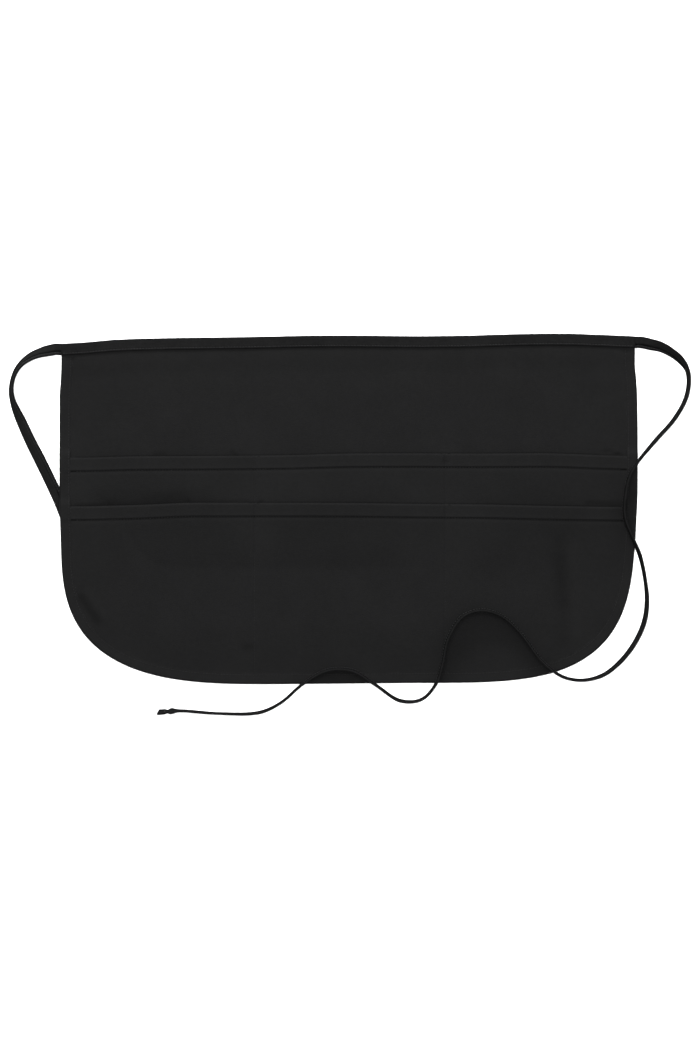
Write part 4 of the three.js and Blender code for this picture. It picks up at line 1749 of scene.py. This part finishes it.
@dataclass
class Waistband:
    """The tape folded over the apron's top edge, from side to side."""

    cut: Cut
    layers: Layers
    step: float = 2.0
    stitch_inset: float = 1.8
    fold_radius: float = 1.5
    thread_sink: float = 0.12
    groove: Groove = Groove(0.28, 0.6)
    ripples: tuple[Ripple, ...] = (Ripple(0.12, 13.0, 71), Ripple(0.08, 5.5, 72))
    name: str = "waistband_tape"

    def ends(self, v: Array) -> tuple[Array, Array]:
        """Give where the tape's two ends lie at a depth below the top edge."""
        half = self.cut.width / 2
        left = self.cut.side_edge(Side.LEFT, self.cut.top_edge(-half) - v)
        right = self.cut.side_edge(Side.RIGHT, self.cut.top_edge(half) - v)
        return left, right

    def section(self) -> Section:
        """Draw the folded tape's section, from inside its front round to inside its back.

        Returns:
            Each point's depth below the top edge, its share through its wall from 0, the inside,
            to 1, the outside, and that wall's name.
        """
        wide = self.cut.tape
        sewn = wide - self.stitch_inset
        front = at_depths(0.0, "front", 1.6, 6.0, wide - 0.5)
        front += [(wide - 0.12, 0.2, "front"), (wide, 0.5, "front"), (wide - 0.12, 0.8, "front")]
        front += at_depths(1.0, "front", wide - 0.5, sewn + 0.7, sewn + 0.3, sewn, sewn - 0.3)
        front += at_depths(1.0, "front", sewn - 0.8, 8.4, 6.2, 4.0, 2.4)
        fold = round_fold(self.fold_radius, "fold", (75, 55, 35, 15, -15, -35, -55, -75))
        back = [(a, b, "back") for a, b, _ in front[::-1]]
        inside = [(1.3, 0.2, "inner"), (1.15, 0.5, "inner"), (1.3, 0.8, "inner")]
        return front + fold + back + inside

    def build(self) -> bpy.types.Object:
        """Make the waistband.

        Returns:
            The waistband's object.
        """
        cut, layers = self.cut, self.layers
        count = int(cut.width / self.step)
        share = np.linspace(0.0, 1.0, count)
        sewn = cut.tape - self.stitch_inset
        columns, spots, painted_lights = [], [], []
        for v, through, wall in self.section():
            left, right = self.ends(v)
            x = left + (right - left) * share
            y = cut.top_edge(x) - v
            inner_front = layers.band_inside(x, y)
            inner_back = layers.panel_under(x, y) - layers.gap
            outer_front = inner_front + layers.tape_wall
            outer_back = inner_back - layers.tape_wall
            puckered = sum(wave(x) for wave in self.ripples) * smoothstep(v, 1.0, 6.0)
            low, high = {
                "front": (inner_front, outer_front + puckered + self.groove(v - sewn)),
                "fold": (outer_back, outer_front),
                "back": (inner_back, outer_back - self.groove(v - sewn)),
                "inner": (inner_back, inner_front),
            }[wall]
            z = low + (high - low) * through
            columns.append(np.stack([x, y, z], 1))
            spots.append(np.stack([x, np.full(count, v + (40.0 if wall == "back" else 0.0))], 1))
            # Painted highlight just above the stitch row, painted shade on the row, and painted shade along
            # the tape's lower edge.
            painted_light = 1.0 + 0.3 * bell(v - sewn + 1.3, 0.7) - 0.25 * bell(v - sewn, 0.6)
            painted_lights.append(np.full(count, painted_light - 0.5 * float(smoothstep(v, cut.tape - 1.0, cut.tape))))
        maker = MeshMaker()
        maker.add_sweep(columns, spots, painted_lights, closed=True)
        band = maker.build(self.name, TAPE)
        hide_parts("waistband")
        return band

    def sew(self) -> bpy.types.Object:
        """Sew the folded tape shut over the apron's top edge.

        Returns:
            The stitches' object.
        """
        v = self.cut.tape - self.stitch_inset
        left, right = self.ends(v)
        x = np.arange(float(left) + 1.5, float(right) - 1.5, 1.0)
        y = self.cut.top_edge(x) - v
        z = self.layers.band_inside(x, y) + self.layers.tape_wall - self.thread_sink
        path = np.stack([x, y, z], 1)
        maker = MeshMaker()
        StitchLine().sew(maker, path, straight_up(len(path)))
        return maker.build("waistband_stitches", TAPE_THREAD)


# The studio


@dataclass(frozen=True)
class Lamp:
    """A soft oblong light that faces the apron, its place and size in metres, its power in watts."""

    name: str
    place: tuple[float, float, float]
    size: tuple[float, float]
    power: float

    def hang(self) -> None:
        """Put the light in the scene."""
        data = bpy.data.lights.new(self.name, "AREA")
        data.shape = "RECTANGLE"
        data.size, data.size_y = self.size
        data.energy = self.power
        made = bpy.data.objects.new(self.name, data)
        made.location = self.place
        made.rotation_euler = (-Vector(self.place)).to_track_quat("-Z", "Y").to_euler()
        bpy.context.scene.collection.objects.link(made)


@dataclass
class Studio:
    """A plain white sweep, a wide soft light above the waistband's side, and the camera overhead."""

    aim: tuple[float, float] = (0.0014, -0.0170)
    view_height: float = 1.1072
    lens: float = 100.0
    sensor: float = 36.0
    sky: float = 1.0
    far_clip: float = 50.0
    lens_lift: float = 0.003
    floor_size: float = 6.0
    floor_drop: float = 0.0003
    lamps: tuple[Lamp, ...] = (
        Lamp("key_above", (-0.35, 2.0, 0.75), (2.0, 0.5), 127.0),
        Lamp("soft_overhead", (0.0, 0.3, 3.6), (2.4, 2.4), 260.0),
        Lamp("fill_left", (-2.2, 0.8, 1.6), (1.2, 2.0), 20.0),
        Lamp("fill_right", (2.3, 0.5, 1.6), (1.2, 2.0), 20.0),
    )

    def camera(self) -> bpy.types.Object:
        """Hang the camera straight above the apron.

        Returns:
            The camera.
        """
        data = bpy.data.cameras.new("overhead_camera")
        data.lens = self.lens
        data.sensor_fit = "VERTICAL"
        data.sensor_width = self.sensor
        data.sensor_height = self.sensor
        data.clip_end = self.far_clip
        made = bpy.data.objects.new("overhead_camera", data)
        distance = self.view_height * self.lens / self.sensor
        made.location = (*self.aim, distance + self.lens_lift)
        bpy.context.scene.collection.objects.link(made)
        bpy.context.scene.camera = made
        return made

    def lights(self) -> None:
        """Hang the studio's lights and set its sky."""
        for lamp in self.lamps:
            lamp.hang()
        world = bpy.data.worlds.new("studio_sky")
        world.use_nodes = True
        sky = world.node_tree.nodes["Background"]
        sky.inputs["Color"].default_value = (1.0, 1.0, 1.0, 1.0)
        sky.inputs["Strength"].default_value = self.sky
        bpy.context.scene.world = world
        bpy.context.scene.view_settings.view_transform = "Standard"

    def floor(self) -> bpy.types.Object:
        """Lay the white sweep.

        Returns:
            The floor.
        """
        work = bmesh.new()
        bmesh.ops.create_grid(work, x_segments=12, y_segments=12, size=self.floor_size)
        mesh = bpy.data.meshes.new("studio_floor")
        work.to_mesh(mesh)
        work.free()
        mesh.materials.append(FLOOR.material())
        made = bpy.data.objects.new("studio_floor", mesh)
        made.location = (0.0, 0.0, -self.floor_drop)
        bpy.context.scene.collection.objects.link(made)
        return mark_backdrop(made) or made


def main() -> None:
    """Build the apron piece by piece in its studio."""
    logging.basicConfig(level=logging.INFO, format="%(message)s")
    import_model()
    studio = Studio()
    studio.camera()
    Tie("tie_left", LEFT_ROUTE, Side.LEFT).build()
    Tie("tie_right", RIGHT_ROUTE, Side.RIGHT, end_hem=10.8).build()
    cut = Cut()
    run = EdgeRun.of(cut.edge_run(2.0))
    layers = Layers(cut)
    panel = Panel(cut, layers, run)
    band = Waistband(cut, layers)
    cloth = panel.build()
    with_cloth = [panel.sew(), band.build(), band.sew()]
    PocketTier(cut, layers, run, Tier.UPPER, marks=UPPER_PAINTED_SHADE).build()
    PocketTier(cut, layers, run, Tier.LOWER).build()
    studio.lights()
    studio.floor()


if __name__ == "__main__":
    main()
